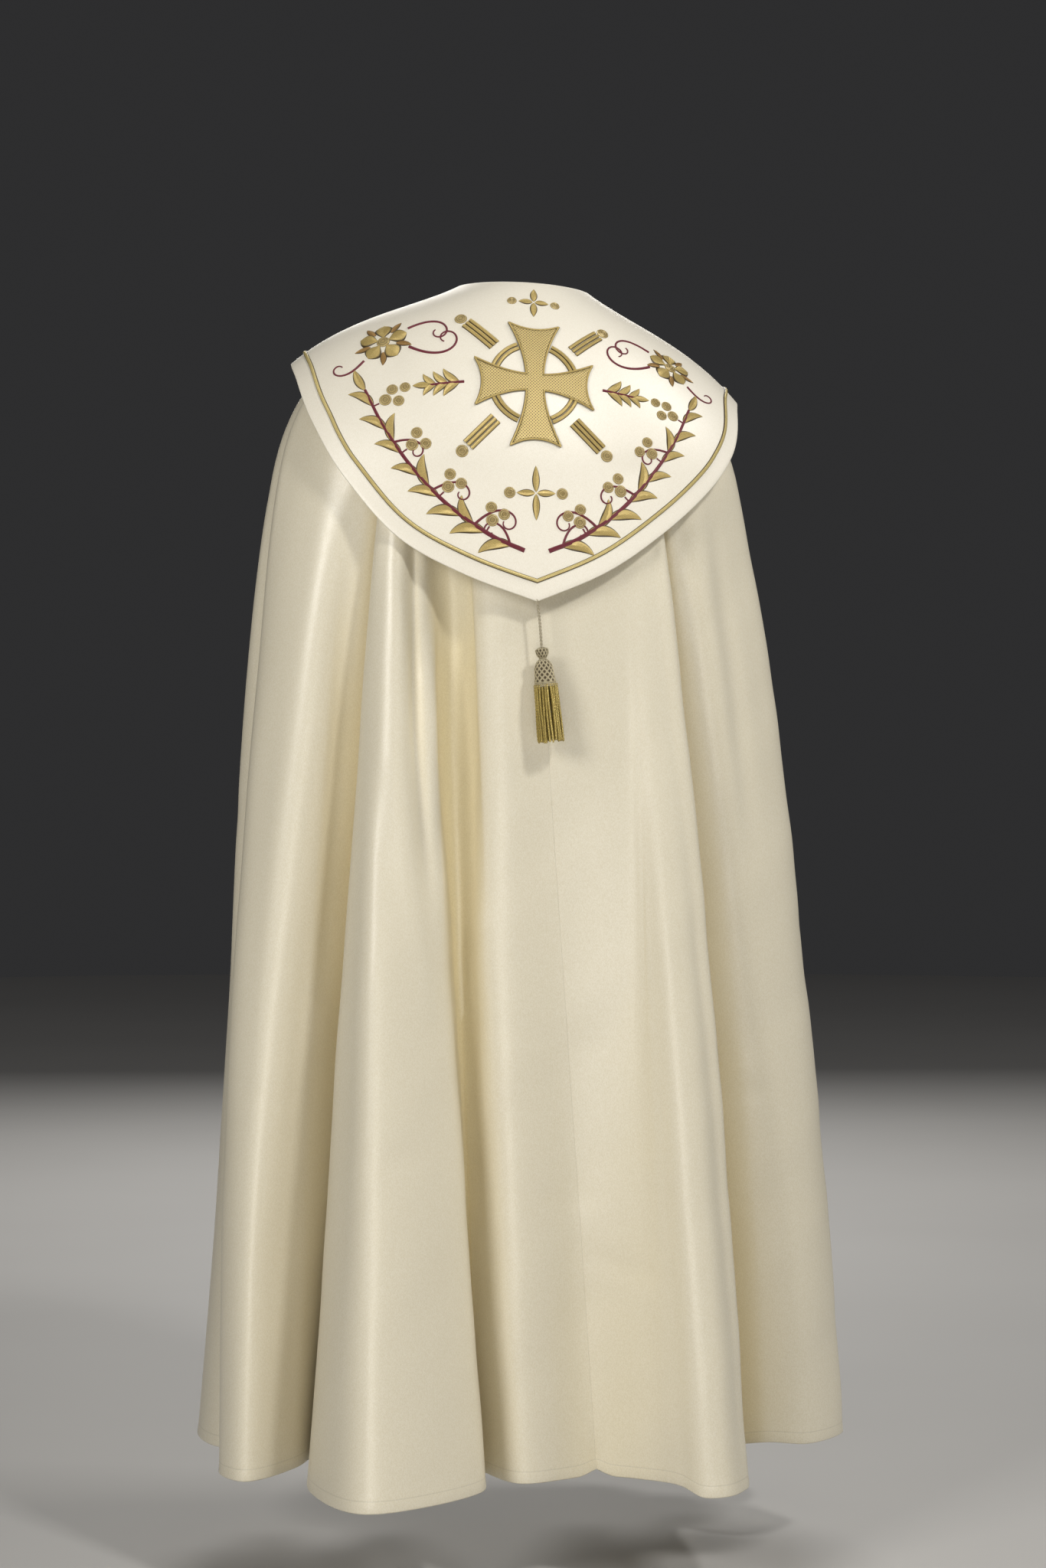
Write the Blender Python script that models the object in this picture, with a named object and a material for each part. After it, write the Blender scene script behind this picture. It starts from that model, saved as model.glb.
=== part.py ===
"""A cope, the half-round mantle of a church vestment, as it hangs on a standing wearer.

Units are metres. +Z is up, +X is to the wearer's right and +Y is the way the wearer faces, so the
hood hangs at -Y. The origin lies on the wearer's shoulders, at the middle of the neck.
"""

import math
from collections import namedtuple

import bmesh
import bpy
import numpy as np
from mathutils import Matrix, Vector

# Walls and gaps
MANTLE_WALL = 0.0020
HOOD_WALL = 0.0025
GAP = 0.0003

# Mantle
HEM_HEIGHT = -1.340
CAP_ROWS = 6
FALL_ROWS = 10
COLUMNS_PER_POINT = 3
FALL_LEAD = 1.15
FALL_TAIL = 0.60
SHOULDER_TILT = 0.055

# Hood
HOOD_COLUMNS = 56
HOOD_ROWS = 11

# Braid couched along the hood
BRAID_BORDER = 0.0205
BRAID_WIDTH = 0.0050
BRAID_HEIGHT = 0.0020

# Cross sewn on the hood, placed by its distance down the hood's middle from the neck
CROSS_CENTRE_DOWN = 0.146
CROSS_HALF_WIDTH = 0.068
CROSS_HALF_HEIGHT = 0.076
CROSS_ARM_NARROW = 0.0100
CROSS_ARM_WIDE = 0.0290
CROSS_NOTCH = 0.008
CROSS_THICKNESS = 0.0016
CROSS_LIFT = 0.0006
CROSS_CUTS = 6

# Tassel and the cord that it hangs on
CORD_RADIUS = 0.0014
CORD_LENGTH = 0.052
CORD_POINTS = 9
TASSEL_ASIDE = 0.005
TASSEL_LEAN = math.radians(6.0)
TASSEL_SIDES = 28
STRAND_LENGTH = 0.063
STRAND_SPREAD = 1.16
STRAND_INSET = 0.16
STRAND_CUTS = 3

# Clasp band across the breast, from the yoke down
CLASP_HEIGHT = 0.052
CLASP_COLUMNS = 7
CLASP_ROWS = 2
CLASP_BRIDGE = 4
CLASP_WALL = 0.0024
CLASP_LIFT = 0.0006

Ring = namedtuple("Ring", "name share shift side back front side_height back_height front_height")

# The control rings of the cope's profile over the shoulders, from the neck down. share is how much
# of a column's turn the ring takes, so that the neck stands open in front. shift is along X.
RINGS = (
    Ring("neck", 0.860, 0.000, 0.076, 0.070, 0.092, 0.020, 0.022, -0.036),
    Ring("slope", 0.930, -0.008, 0.140, 0.104, 0.122, -0.020, -0.004, -0.074),
    Ring("shoulder", 0.985, -0.014, 0.242, 0.150, 0.146, -0.052, -0.080, -0.125),
    Ring("yoke", 1.000, -0.016, 0.272, 0.163, 0.153, -0.195, -0.200, -0.215),
)

Edge = namedtuple("Edge", "name turn height stand")

# The hood's edge from the wearer's left front end round the back to the right front end: how far
# round it is in degrees from the back, its height on the wearer's plain form, and how far it
# stands off it.
HOOD_EDGE = (
    Edge("left end", -171.0, -0.150, 0.003),
    Edge("left breast", -140.0, -0.134, 0.007),
    Edge("left front", -112.0, -0.110, 0.019),
    Edge("left corner", -88.0, -0.101, 0.030),
    Edge("left arm", -75.0, -0.118, 0.026),
    Edge("left blade", -60.0, -0.161, 0.022),
    Edge("left side", -45.0, -0.223, 0.019),
    Edge("left foot", -30.0, -0.284, 0.016),
    Edge("left of tip", -15.0, -0.321, 0.0145),
    Edge("tip", 0.0, -0.347, 0.014),
    Edge("right of tip", 15.0, -0.309, 0.0145),
    Edge("right foot", 30.0, -0.260, 0.016),
    Edge("right side", 45.0, -0.211, 0.019),
    Edge("right blade", 60.0, -0.164, 0.022),
    Edge("right arm", 75.0, -0.119, 0.026),
    Edge("right corner", 88.0, -0.107, 0.030),
    Edge("right front", 112.0, -0.114, 0.019),
    Edge("right breast", 140.0, -0.134, 0.007),
    Edge("right end", 171.0, -0.150, 0.003),
)

Fold = namedtuple("Fold", "name turns dent belly drop left crown right valley")

# One row a fold, from the wearer's left front edge round the back to the right front edge.
# turns: where the fold's left side, crown, right side and following valley leave the yoke, in
# degrees from the back. dent: how far the valley sinks at the yoke. belly: how far the crown bows
# out half way down. drop: how far the hem hangs below its own height. left, crown, right, valley:
# their places on the hem, seen from above.
FOLDS = (
    Fold("left edge", (-175.5, -170.0, -163.0, -157.0), 0.004, 0.004, 0.0,
         (-0.085, 0.262), (-0.118, 0.296), (-0.152, 0.272), (-0.166, 0.205)),
    Fold("left breast", (-150.0, -140.0, -131.0, -122.0), 0.006, 0.006, 0.0,
         (-0.206, 0.262), (-0.246, 0.322), (-0.296, 0.290), (-0.272, 0.206)),
    Fold("left arm", (-112.0, -101.0, -91.0, -83.0), 0.014, 0.000, 0.0,
         (-0.338, 0.256), (-0.368, 0.178), (-0.354, 0.088), (-0.285, 0.030)),
    Fold("outer back", (-76.0, -61.0, -47.0, -40.5), 0.020, 0.018, -0.006,
         (-0.365, -0.080), (-0.342, -0.134), (-0.277, -0.072), (-0.242, 0.010)),
    Fold("inner back", (-37.0, -34.0, -28.0, -22.0), 0.010, 0.004, 0.0,
         (-0.271, -0.180), (-0.226, -0.291), (-0.084, -0.206), (-0.071, -0.095)),
    Fold("middle back", (-15.0, 0.0, 18.0, 22.0), 0.000, 0.002, 0.0,
         (-0.033, -0.172), (0.059, -0.148), (0.115, -0.180), (0.143, -0.215)),
    Fold("right back", (25.0, 29.0, 31.5, 36.0), 0.020, 0.003, 0.008,
         (0.163, -0.242), (0.192, -0.242), (0.226, -0.190), (0.250, 0.010)),
    Fold("right arm", (43.0, 55.0, 72.0, 86.0), 0.012, 0.014, -0.006,
         (0.288, -0.032), (0.333, -0.047), (0.393, 0.020), (0.316, 0.078)),
    Fold("right elbow", (95.0, 105.0, 114.0, 122.0), 0.008, 0.008, 0.0,
         (0.360, 0.122), (0.380, 0.196), (0.346, 0.256), (0.276, 0.206)),
    Fold("right breast", (131.0, 140.0, 149.0, 156.0), 0.006, 0.006, 0.0,
         (0.302, 0.284), (0.256, 0.327), (0.208, 0.270), (0.172, 0.208)),
    Fold("right edge", (162.0, 168.0, 172.0, 175.5), 0.000, 0.004, 0.0,
         (0.156, 0.274), (0.124, 0.298), (0.100, 0.286), (0.088, 0.262)),
)

Turned = namedtuple("Turned", "name down radius")

# The tassel's knot and netted head, turned round its axis, measured down from the knot's top.
TASSEL_PROFILE = (
    Turned("knot top", 0.0000, 0.0024),
    Turned("knot shoulder", 0.0016, 0.0060),
    Turned("knot middle", 0.0055, 0.0072),
    Turned("knot foot", 0.0098, 0.0058),
    Turned("neck", 0.0128, 0.0042),
    Turned("bell top", 0.0158, 0.0070),
    Turned("bell shoulder", 0.0205, 0.0096),
    Turned("bell middle", 0.0290, 0.0108),
    Turned("band", 0.0380, 0.0118),
    Turned("band foot", 0.0440, 0.0132),
)
# Rings on the underside of the head, between which the strands hang.
TASSEL_UNDER_RADII = (0.0088, 0.0050)

Look = namedtuple("Look", "name colour roughness metallic")

LOOKS = (
    Look("mantle_cloth", (0.80, 0.74, 0.60), 0.55, 0.0),
    Look("hood_cloth", (0.86, 0.80, 0.68), 0.50, 0.0),
    Look("gold_braid", (0.62, 0.43, 0.14), 0.38, 0.7),
    Look("gold_couching", (0.66, 0.48, 0.18), 0.42, 0.6),
    Look("gold_strands", (0.55, 0.40, 0.10), 0.36, 0.8),
    Look("twisted_cord", (0.52, 0.46, 0.32), 0.40, 0.6),
    Look("clasp_cloth", (0.84, 0.78, 0.66), 0.50, 0.0),
)


def clear_scene():
    for old in list(bpy.data.objects):
        bpy.data.objects.remove(old, do_unlink=True)


def make_materials():
    """One Principled material for each row of LOOKS, by name."""
    made = {}
    for look in LOOKS:
        material = bpy.data.materials.new(look.name)
        material.use_nodes = True
        shader = material.node_tree.nodes["Principled BSDF"]
        shader.inputs["Base Color"].default_value = (*look.colour, 1.0)
        shader.inputs["Roughness"].default_value = look.roughness
        shader.inputs["Metallic"].default_value = look.metallic
        material.diffuse_color = (*look.colour, 1.0)
        made[look.name] = material
    return made


def add_object(name, points, faces, material, smooth_below=40.0):
    """An object from points and faces, with its faces turned out and its shading smooth."""
    shape = bmesh.new()
    corners = [shape.verts.new(p) for p in points]
    for face in faces:
        shape.faces.new([corners[k] for k in face])
    bmesh.ops.recalc_face_normals(shape, faces=shape.faces)
    return add_shape(name, shape, material, smooth_below)


def add_shape(name, shape, material, smooth_below=40.0):
    mesh = bpy.data.meshes.new(name)
    shape.to_mesh(mesh)
    shape.free()
    mesh.shade_smooth()
    mesh.set_sharp_from_angle(angle=math.radians(smooth_below))
    mesh.materials.append(material)
    made = bpy.data.objects.new(name, mesh)
    bpy.context.scene.collection.objects.link(made)
    return made


# Curves and grids


def bezier(controls, share):
    """The cubic curve through four arrays of control points, at one share of its length."""
    a, b, c, d = controls
    rest = 1.0 - share
    return rest**3 * a + 3 * rest**2 * share * b + 3 * rest * share**2 * c + share**3 * d


def smooth_rows(rows, knots, steps):
    """Rows of numbers run through a smooth curve that passes each row, with steps places between rows."""
    gaps = np.diff(knots)[:, None]
    slopes = np.diff(rows, axis=0) / gaps
    inner = (slopes[:-1] * gaps[1:] + slopes[1:] * gaps[:-1]) / (gaps[1:] + gaps[:-1])
    tangents = np.vstack([slopes[:1], inner, slopes[-1:]])
    found = []
    for i in range(len(rows) - 1):
        for k in range(steps):
            t = k / steps
            found.append(
                (2 * t**3 - 3 * t**2 + 1) * rows[i]
                + (t**3 - 2 * t**2 + t) * gaps[i] * tangents[i]
                + (3 * t**2 - 2 * t**3) * rows[i + 1]
                + (t**3 - t**2) * gaps[i] * tangents[i + 1]
            )
    found.append(rows[-1])
    return np.array(found)


def ring_points(ring, turns):
    """A ring's points at these turns, in radians from the back towards +X."""
    turned = turns * ring.share
    sine, cosine = np.sin(turned), np.cos(turned)
    behind = cosine > 0
    reach = np.where(behind, ring.back, ring.front)
    end_height = np.where(behind, ring.back_height, ring.front_height)
    height = ring.side_height + (end_height - ring.side_height) * cosine**2
    across = ring.side * sine + ring.shift
    return np.stack([across, -reach * cosine, height - SHOULDER_TILT * across], axis=-1)


def envelope(turns, share):
    """The plain form that the wearer's shoulders give the cope. It runs straight on below the yoke."""
    rings = [ring_points(ring, turns) for ring in RINGS]
    over = np.clip(share, 0.0, 1.0)[..., None]
    below = np.maximum(share - 1.0, 0.0)[..., None]
    return bezier(rings, over) + 3 * below * (rings[3] - rings[2])


def grid_normals(grid):
    """Unit normals of a grid whose columns run round the wearer and whose rows run down, pointing outwards."""
    along = np.gradient(grid, axis=0)
    down = np.gradient(grid, axis=1)
    normals = np.cross(along, down)
    normals /= np.linalg.norm(normals, axis=-1, keepdims=True)
    outward = (normals * grid * (1, 1, 0)).sum()
    return normals if outward > 0 else -normals


def add_wall(name, grid, normals, wall, material):
    """A closed wall of one thickness, with the grid as its middle surface."""
    columns, rows = grid.shape[:2]
    outer = (grid + normals * wall / 2).reshape(-1, 3)
    inner = (grid - normals * wall / 2).reshape(-1, 3)
    count = columns * rows
    faces = []
    for i in range(columns - 1):
        for j in range(rows - 1):
            a, b = i * rows + j, (i + 1) * rows + j
            faces += [(a, a + 1, b + 1), (a, b + 1, b)]
            faces += [(count + a, count + b + 1, count + a + 1), (count + a, count + b, count + b + 1)]
    border = [(i, 0) for i in range(columns)]
    border += [(columns - 1, j) for j in range(1, rows)]
    border += [(i, rows - 1) for i in range(columns - 2, -1, -1)]
    border += [(0, j) for j in range(rows - 2, 0, -1)]
    for k, (i, j) in enumerate(border):
        after_i, after_j = border[(k + 1) % len(border)]
        here, after = i * rows + j, after_i * rows + after_j
        faces += [(here, after, count + after), (here, count + after, count + here)]
    return add_object(name, np.vstack([outer, inner]), faces, material)


# Mantle


def fold_columns():
    """Each column's turn at the yoke, dent, belly, drop, and the hem's x and y."""
    rows = []
    for fold in FOLDS:
        left, crown, right, valley = (math.radians(t) for t in fold.turns)
        rows += [
            (left, 0.0, fold.belly, fold.drop, *fold.left),
            (crown, 0.0, fold.belly, fold.drop, *fold.crown),
            (right, 0.0, fold.belly, fold.drop, *fold.right),
            (valley, fold.dent, 0.0, fold.drop, *fold.valley),
        ]
    rows = np.array(rows)
    steps = np.sqrt(np.linalg.norm(np.diff(rows[:, 4:], axis=0), axis=1))
    return smooth_rows(rows, np.concatenate([[0.0], np.cumsum(steps)]), COLUMNS_PER_POINT)


def mantle_grid():
    """Points of the mantle's middle surface: over the shoulders, and then down to the hem."""
    columns = fold_columns()
    turns, dents, bellies = columns[:, 0], columns[:, 1:2], columns[:, 2:3]
    neck, slope, shoulder, yoke = (ring_points(ring, turns) for ring in RINGS)
    outward = yoke * (1, 1, 0)
    outward /= np.linalg.norm(outward, axis=1, keepdims=True)
    yoke = yoke - outward * dents
    hem = np.column_stack([columns[:, 4:6], HEM_HEIGHT - columns[:, 3]])
    lead = yoke + (yoke - shoulder) * FALL_LEAD
    tail = yoke + (hem - yoke) * FALL_TAIL + outward * bellies * 2
    cap = [bezier((neck, slope, shoulder, yoke), k / CAP_ROWS) for k in range(CAP_ROWS)]
    fall = [bezier((yoke, lead, tail, hem), k / FALL_ROWS) for k in range(FALL_ROWS + 1)]
    return np.stack(cap + fall, axis=1)


# Hood


def hood_edge(turns):
    """The edge's height and stand-off at these turns, smooth on each side of the sharp tip."""
    rows = np.array([(math.radians(edge.turn), edge.height, edge.stand) for edge in HOOD_EDGE])
    tip = len(rows) // 2
    halves = [smooth_rows(half, half[:, 0], 8) for half in (rows[:tip + 1], rows[tip:])]
    dense = np.concatenate([halves[0], halves[1][1:]])
    return np.interp(turns, dense[:, 0], dense[:, 1]), np.interp(turns, dense[:, 0], dense[:, 2])


def hood_ends(turns, heights):
    """How far down the envelope each column of the hood ends."""
    shares = np.linspace(0.2, 1.8, 161)
    at = np.array([envelope(turns, np.full(len(turns), share)) for share in shares])
    level = at[..., 2] + SHOULDER_TILT * at[..., 0]
    return np.array([np.interp(-height, -level[:, k], shares) for k, height in enumerate(heights)])


def hood_grid(column_count=HOOD_COLUMNS, row_count=HOOD_ROWS):
    """Points of the hood's middle surface: the envelope, lifted clear of the mantle towards its edge."""
    turns = np.radians(np.linspace(HOOD_EDGE[0].turn, HOOD_EDGE[-1].turn, column_count + 1))
    heights, stands = hood_edge(turns)
    ends = hood_ends(turns, heights)
    grid = np.stack([envelope(turns, ends * k / row_count) for k in range(row_count + 1)], axis=1)
    down = np.linspace(0.0, 1.0, row_count + 1)
    lift = (MANTLE_WALL + HOOD_WALL) / 2 + GAP + stands[:, None] * down**2
    return grid + grid_normals(grid) * lift[..., None]


class HoodFace:
    """The hood's outer face, read by distance down its middle and distance to the side."""

    def __init__(self, grid):
        self.normals = grid_normals(grid)
        self.points = grid + self.normals * HOOD_WALL / 2
        self.middle = len(grid) // 2
        spine = np.linalg.norm(np.diff(self.points[self.middle], axis=0), axis=1)
        self.down = np.concatenate([[0.0], np.cumsum(spine)])
        steps = np.linalg.norm(np.diff(self.points, axis=0), axis=2)
        sides = np.concatenate([np.zeros((1, grid.shape[1])), np.cumsum(steps, axis=0)])
        self.aside = sides - sides[self.middle]

    def at(self, aside, down):
        """The point and the normal there."""
        row = np.interp(down, self.down, np.arange(len(self.down)))
        first = min(int(row), len(self.down) - 2)
        share = row - first
        found = []
        for values in (self.points, self.normals):
            ends = [np.array([np.interp(aside, self.aside[:, j], values[:, j, n]) for n in range(3)])
                    for j in (first, first + 1)]
            found.append(ends[0] * (1 - share) + ends[1] * share)
        return found[0], found[1] / np.linalg.norm(found[1])


# Braid


def braid_path():
    """Places along the braid on the hood's outer face, and the face's normals, a border inside its edge."""
    grid = hood_grid(HOOD_COLUMNS * 2, 80)
    normals = grid_normals(grid)
    outer = grid + normals * HOOD_WALL / 2
    run = np.gradient(outer[:, -1], axis=0)
    tip = len(outer) // 2
    run[tip] = outer[tip + 1, -1] - outer[tip, -1]
    places, facing = [], []
    for i, column in enumerate(outer):
        lengths = np.linalg.norm(np.diff(column, axis=0), axis=1)[::-1]
        from_edge = np.concatenate([[0.0], np.cumsum(lengths)])
        down = column[-1] - column[-2]
        slant = np.linalg.norm(np.cross(run[i], down)) / np.linalg.norm(run[i]) / np.linalg.norm(down)
        wanted = BRAID_BORDER / slant
        places.append([np.interp(wanted, from_edge, column[::-1, k]) for k in range(3)])
        facing.append([np.interp(wanted, from_edge, normals[i][::-1, k]) for k in range(3)])
    return np.array(places), np.array(facing)


def add_braid(material):
    """A cord with a flat back: each place on its path has four corners across it."""
    places, facing = braid_path()
    facing /= np.linalg.norm(facing, axis=1, keepdims=True)
    run = np.gradient(places, axis=0)
    across = np.cross(facing, run)
    across /= np.linalg.norm(across, axis=1, keepdims=True)
    half = BRAID_WIDTH / 2
    section = ((-half, GAP), (-half * 0.55, GAP + BRAID_HEIGHT),
               (half * 0.55, GAP + BRAID_HEIGHT), (half, GAP))
    points = [p + a * w + n * h for p, a, n in zip(places, across, facing) for w, h in section]
    faces = []
    for i in range(len(places) - 1):
        for k in range(4):
            a, b = 4 * i + k, 4 * i + (k + 1) % 4
            faces.append((a, b, b + 4, a + 4))
    last = 4 * (len(places) - 1)
    faces += [(3, 2, 1, 0), (last, last + 1, last + 2, last + 3)]
    return add_object("hood_braid", points, faces, material)


# Cross


def arm_rows(reach):
    """Places across an arm that flares to its end, with a shallow notch in the end."""
    rows = []
    for k in range(CROSS_CUTS + 1):
        share = k / CROSS_CUTS
        wide = CROSS_ARM_NARROW + (CROSS_ARM_WIDE - CROSS_ARM_NARROW) * share**1.7
        out = CROSS_ARM_NARROW + (reach - CROSS_ARM_NARROW) * share
        notch = CROSS_NOTCH * share**6
        rows.append([(wide * across, out - notch * (1 - across**2)) for across in (1.0, 0.5, 0.0, -0.5, -1.0)])
    return rows


def add_cross(face, material):
    """A flared cross as cells over its four arms and a square middle, laid on the hood's outer face."""
    flat = [(0.0, 0.0)]
    cells = []
    for quarter in range(4):
        reach = CROSS_HALF_HEIGHT if quarter % 2 == 0 else CROSS_HALF_WIDTH
        turn = Matrix.Rotation(quarter * math.pi / 2, 2)
        rows = arm_rows(reach)
        first, width = len(flat), len(rows[0])
        flat += [tuple(turn @ Vector(place)) for row in rows for place in row]
        cells += [(0, first + n, first + n + 1) for n in range(width - 1)]
        for k in range(CROSS_CUTS):
            for n in range(width - 1):
                a = first + width * k + n
                cells.append((a, a + width, a + width + 1, a + 1))
    laid = [face.at(x, CROSS_CENTRE_DOWN - y) for x, y in flat]
    shape = bmesh.new()
    over = [shape.verts.new(p + n * (CROSS_LIFT + CROSS_THICKNESS)) for p, n in laid]
    under = [shape.verts.new(p + n * CROSS_LIFT) for p, n in laid]
    for cell in cells:
        shape.faces.new([over[k] for k in cell])
        shape.faces.new([under[k] for k in reversed(cell)])
    bmesh.ops.remove_doubles(shape, verts=shape.verts, dist=CROSS_THICKNESS / 20)
    bmesh.ops.bridge_loops(shape, edges=[edge for edge in shape.edges if edge.is_boundary])
    bmesh.ops.triangulate(shape, faces=list(shape.faces))
    bmesh.ops.recalc_face_normals(shape, faces=shape.faces)
    return add_shape("hood_cross", shape, material)


# Tassel and its cord


def tassel_frame(tip):
    """The knot's top and the tassel's axes, leaning towards +X at its foot, below the hood's tip."""
    top = tip + Vector((TASSEL_ASIDE, 0.0, -CORD_LENGTH))
    return Matrix.Translation(top) @ Matrix.Rotation(-TASSEL_LEAN, 4, "Y")


def add_tassel(tip, material):
    """A turned head, with strands drawn down from the rings of faces on its underside."""
    sides = TASSEL_SIDES
    shape = bmesh.new()
    rings = []
    radii = [(row.radius, row.down) for row in TASSEL_PROFILE]
    foot = TASSEL_PROFILE[-1].down
    radii += [(radius, foot) for radius in TASSEL_UNDER_RADII]
    for radius, down in radii:
        rings.append([shape.verts.new((radius * math.cos(2 * math.pi * k / sides),
                                       radius * math.sin(2 * math.pi * k / sides), -down))
                      for k in range(sides)])
    shape.faces.new(rings[0])
    shape.faces.new(rings[-1][::-1])
    under = []
    for i in range(len(rings) - 1):
        for k in range(sides):
            after = (k + 1) % sides
            made = shape.faces.new((rings[i][k], rings[i + 1][k], rings[i + 1][after], rings[i][after]))
            if i >= len(TASSEL_PROFILE) - 1:
                under.append(made)
    bmesh.ops.recalc_face_normals(shape, faces=shape.faces)
    for face in under:
        draw_strand(shape, face)
    shape.transform(tassel_frame(tip))
    bmesh.ops.triangulate(shape, faces=list(shape.faces))
    bmesh.ops.recalc_face_normals(shape, faces=shape.faces)
    return add_shape("tassel", shape, material)


def draw_strand(shape, face):
    """Insets one face and draws it down, spreading it out from the axis."""
    centre = face.calc_center_median()
    inset = bmesh.ops.inset_individual(shape, faces=[face], thickness=0.0003, depth=0.0)
    del inset
    for vert in face.verts:
        vert.co = centre + (vert.co - centre) * (1 - STRAND_INSET)
    for k in range(STRAND_CUTS):
        made = bmesh.ops.extrude_discrete_faces(shape, faces=[face])
        face = made["faces"][0]
        share = (k + 1) / STRAND_CUTS
        wanted = 1 + (STRAND_SPREAD - 1) * (1 - (1 - share) ** 2)
        already = 1 + (STRAND_SPREAD - 1) * (1 - (1 - k / STRAND_CUTS) ** 2)
        for vert in face.verts:
            grow = wanted / already
            vert.co = Vector((vert.co.x * grow, vert.co.y * grow, vert.co.z - STRAND_LENGTH / STRAND_CUTS))


def add_cord(tip, material):
    """A tube from just under the hood's tip to just over the knot, on a slightly bowed path."""
    start = tip + Vector((0.0, 0.0, -GAP))
    end = tassel_frame(tip).translation + Vector((0.0, 0.0, GAP))
    curve = bpy.data.curves.new("tassel_cord", "CURVE")
    curve.dimensions = "3D"
    curve.bevel_depth = CORD_RADIUS
    curve.bevel_resolution = 2
    curve.use_fill_caps = True
    line = curve.splines.new("POLY")
    line.points.add(CORD_POINTS - 1)
    for k, point in enumerate(line.points):
        share = k / (CORD_POINTS - 1)
        place = start.lerp(end, share) + Vector((0.0006 * math.sin(math.pi * share), 0.0, 0.0))
        point.co = (*place, 1.0)
    curve.materials.append(material)
    made = bpy.data.objects.new("tassel_cord", curve)
    bpy.context.scene.collection.objects.link(made)
    return made


# Clasp


def add_clasp(mantle, material):
    """A band on the mantle from one front edge to the other, made from its points and moved out."""
    yoke, below = mantle[:, CAP_ROWS], mantle[:, CAP_ROWS + 1]
    drop = CLASP_HEIGHT / np.linalg.norm(below[0] - yoke[0])
    rows = np.stack([yoke + (below - yoke) * drop * k / CLASP_ROWS for k in range(CLASP_ROWS + 1)], axis=1)
    right, left = rows[-CLASP_COLUMNS:], rows[:CLASP_COLUMNS]
    out_right, out_left = grid_normals(right), grid_normals(left)
    lift = (MANTLE_WALL + CLASP_WALL) / 2 + CLASP_LIFT
    right, left = right + out_right * lift, left + out_left * lift
    bridge = [right[-1] + (left[0] - right[-1]) * k / CLASP_BRIDGE for k in range(1, CLASP_BRIDGE)]
    band = np.concatenate([right, bridge, left])
    return add_wall("clasp_band", band, grid_normals(band), CLASP_WALL, material)


def main():
    clear_scene()
    materials = make_materials()
    mantle = mantle_grid()
    facing = grid_normals(mantle)
    turns = fold_columns()[:, 0]
    seam = int(np.argmin(np.abs(turns)))
    left, right = mantle[:seam + 1].copy(), mantle[seam:].copy()
    left[-1, :, 0] -= GAP / 2
    right[0, :, 0] += GAP / 2
    add_wall("mantle_left", left, facing[:seam + 1], MANTLE_WALL, materials["mantle_cloth"])
    add_wall("mantle_right", right, facing[seam:], MANTLE_WALL, materials["mantle_cloth"])
    hood = hood_grid()
    add_wall("hood", hood, grid_normals(hood), HOOD_WALL, materials["hood_cloth"])
    add_braid(materials["gold_braid"])
    add_cross(HoodFace(hood), materials["gold_couching"])
    tip = Vector(hood[HOOD_COLUMNS // 2, -1])
    add_cord(tip, materials["twisted_cord"])
    add_tassel(tip, materials["gold_strands"])
    add_clasp(mantle, materials["clasp_cloth"])


main()
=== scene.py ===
# Looks for a cope, a half-round church mantle with a shield-shaped hood, hung as it is worn.
# Metres, +Z up, +X to the wearer's right, the hood at -Y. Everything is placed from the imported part's frame.
import math

import bmesh
import bpy
import numpy as np
from mathutils import Matrix


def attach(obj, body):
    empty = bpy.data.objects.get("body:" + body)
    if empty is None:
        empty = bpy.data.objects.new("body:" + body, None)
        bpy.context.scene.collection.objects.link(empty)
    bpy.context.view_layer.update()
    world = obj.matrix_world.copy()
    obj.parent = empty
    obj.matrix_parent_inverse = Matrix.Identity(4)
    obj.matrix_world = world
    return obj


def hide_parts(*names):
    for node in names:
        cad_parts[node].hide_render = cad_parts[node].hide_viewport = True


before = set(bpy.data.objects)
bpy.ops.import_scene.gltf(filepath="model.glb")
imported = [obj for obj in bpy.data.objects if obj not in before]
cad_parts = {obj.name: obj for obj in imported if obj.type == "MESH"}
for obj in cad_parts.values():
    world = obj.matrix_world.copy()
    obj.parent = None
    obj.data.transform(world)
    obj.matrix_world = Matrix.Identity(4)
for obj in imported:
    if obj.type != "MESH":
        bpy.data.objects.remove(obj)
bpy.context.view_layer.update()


def addObject(name, data):
    made = bpy.data.objects.new(name, data)
    bpy.context.scene.collection.objects.link(made)
    return made


# camera at the photograph's viewing angle, from behind and a little to the wearer's left
bpy.context.scene.view_settings.view_transform = "Standard"
camera = {"spot": (-0.712, -4.038, -0.46), "turn": -10.0, "dip": 1.31, "lens": 80.07, "sensor": 36.0, "far": 60}
cameraData = bpy.data.cameras.new("camera")
cameraData.sensor_fit = "VERTICAL"
cameraData.sensor_height = camera["sensor"]
cameraData.lens = camera["lens"]
cameraData.clip_end = camera["far"]
cameraObject = addObject("camera", cameraData)
cameraObject.location = camera["spot"]
cameraObject.rotation_euler = (math.radians(90 - camera["dip"]), 0, math.radians(camera["turn"]))
bpy.context.scene.camera = cameraObject


# meshes

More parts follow.
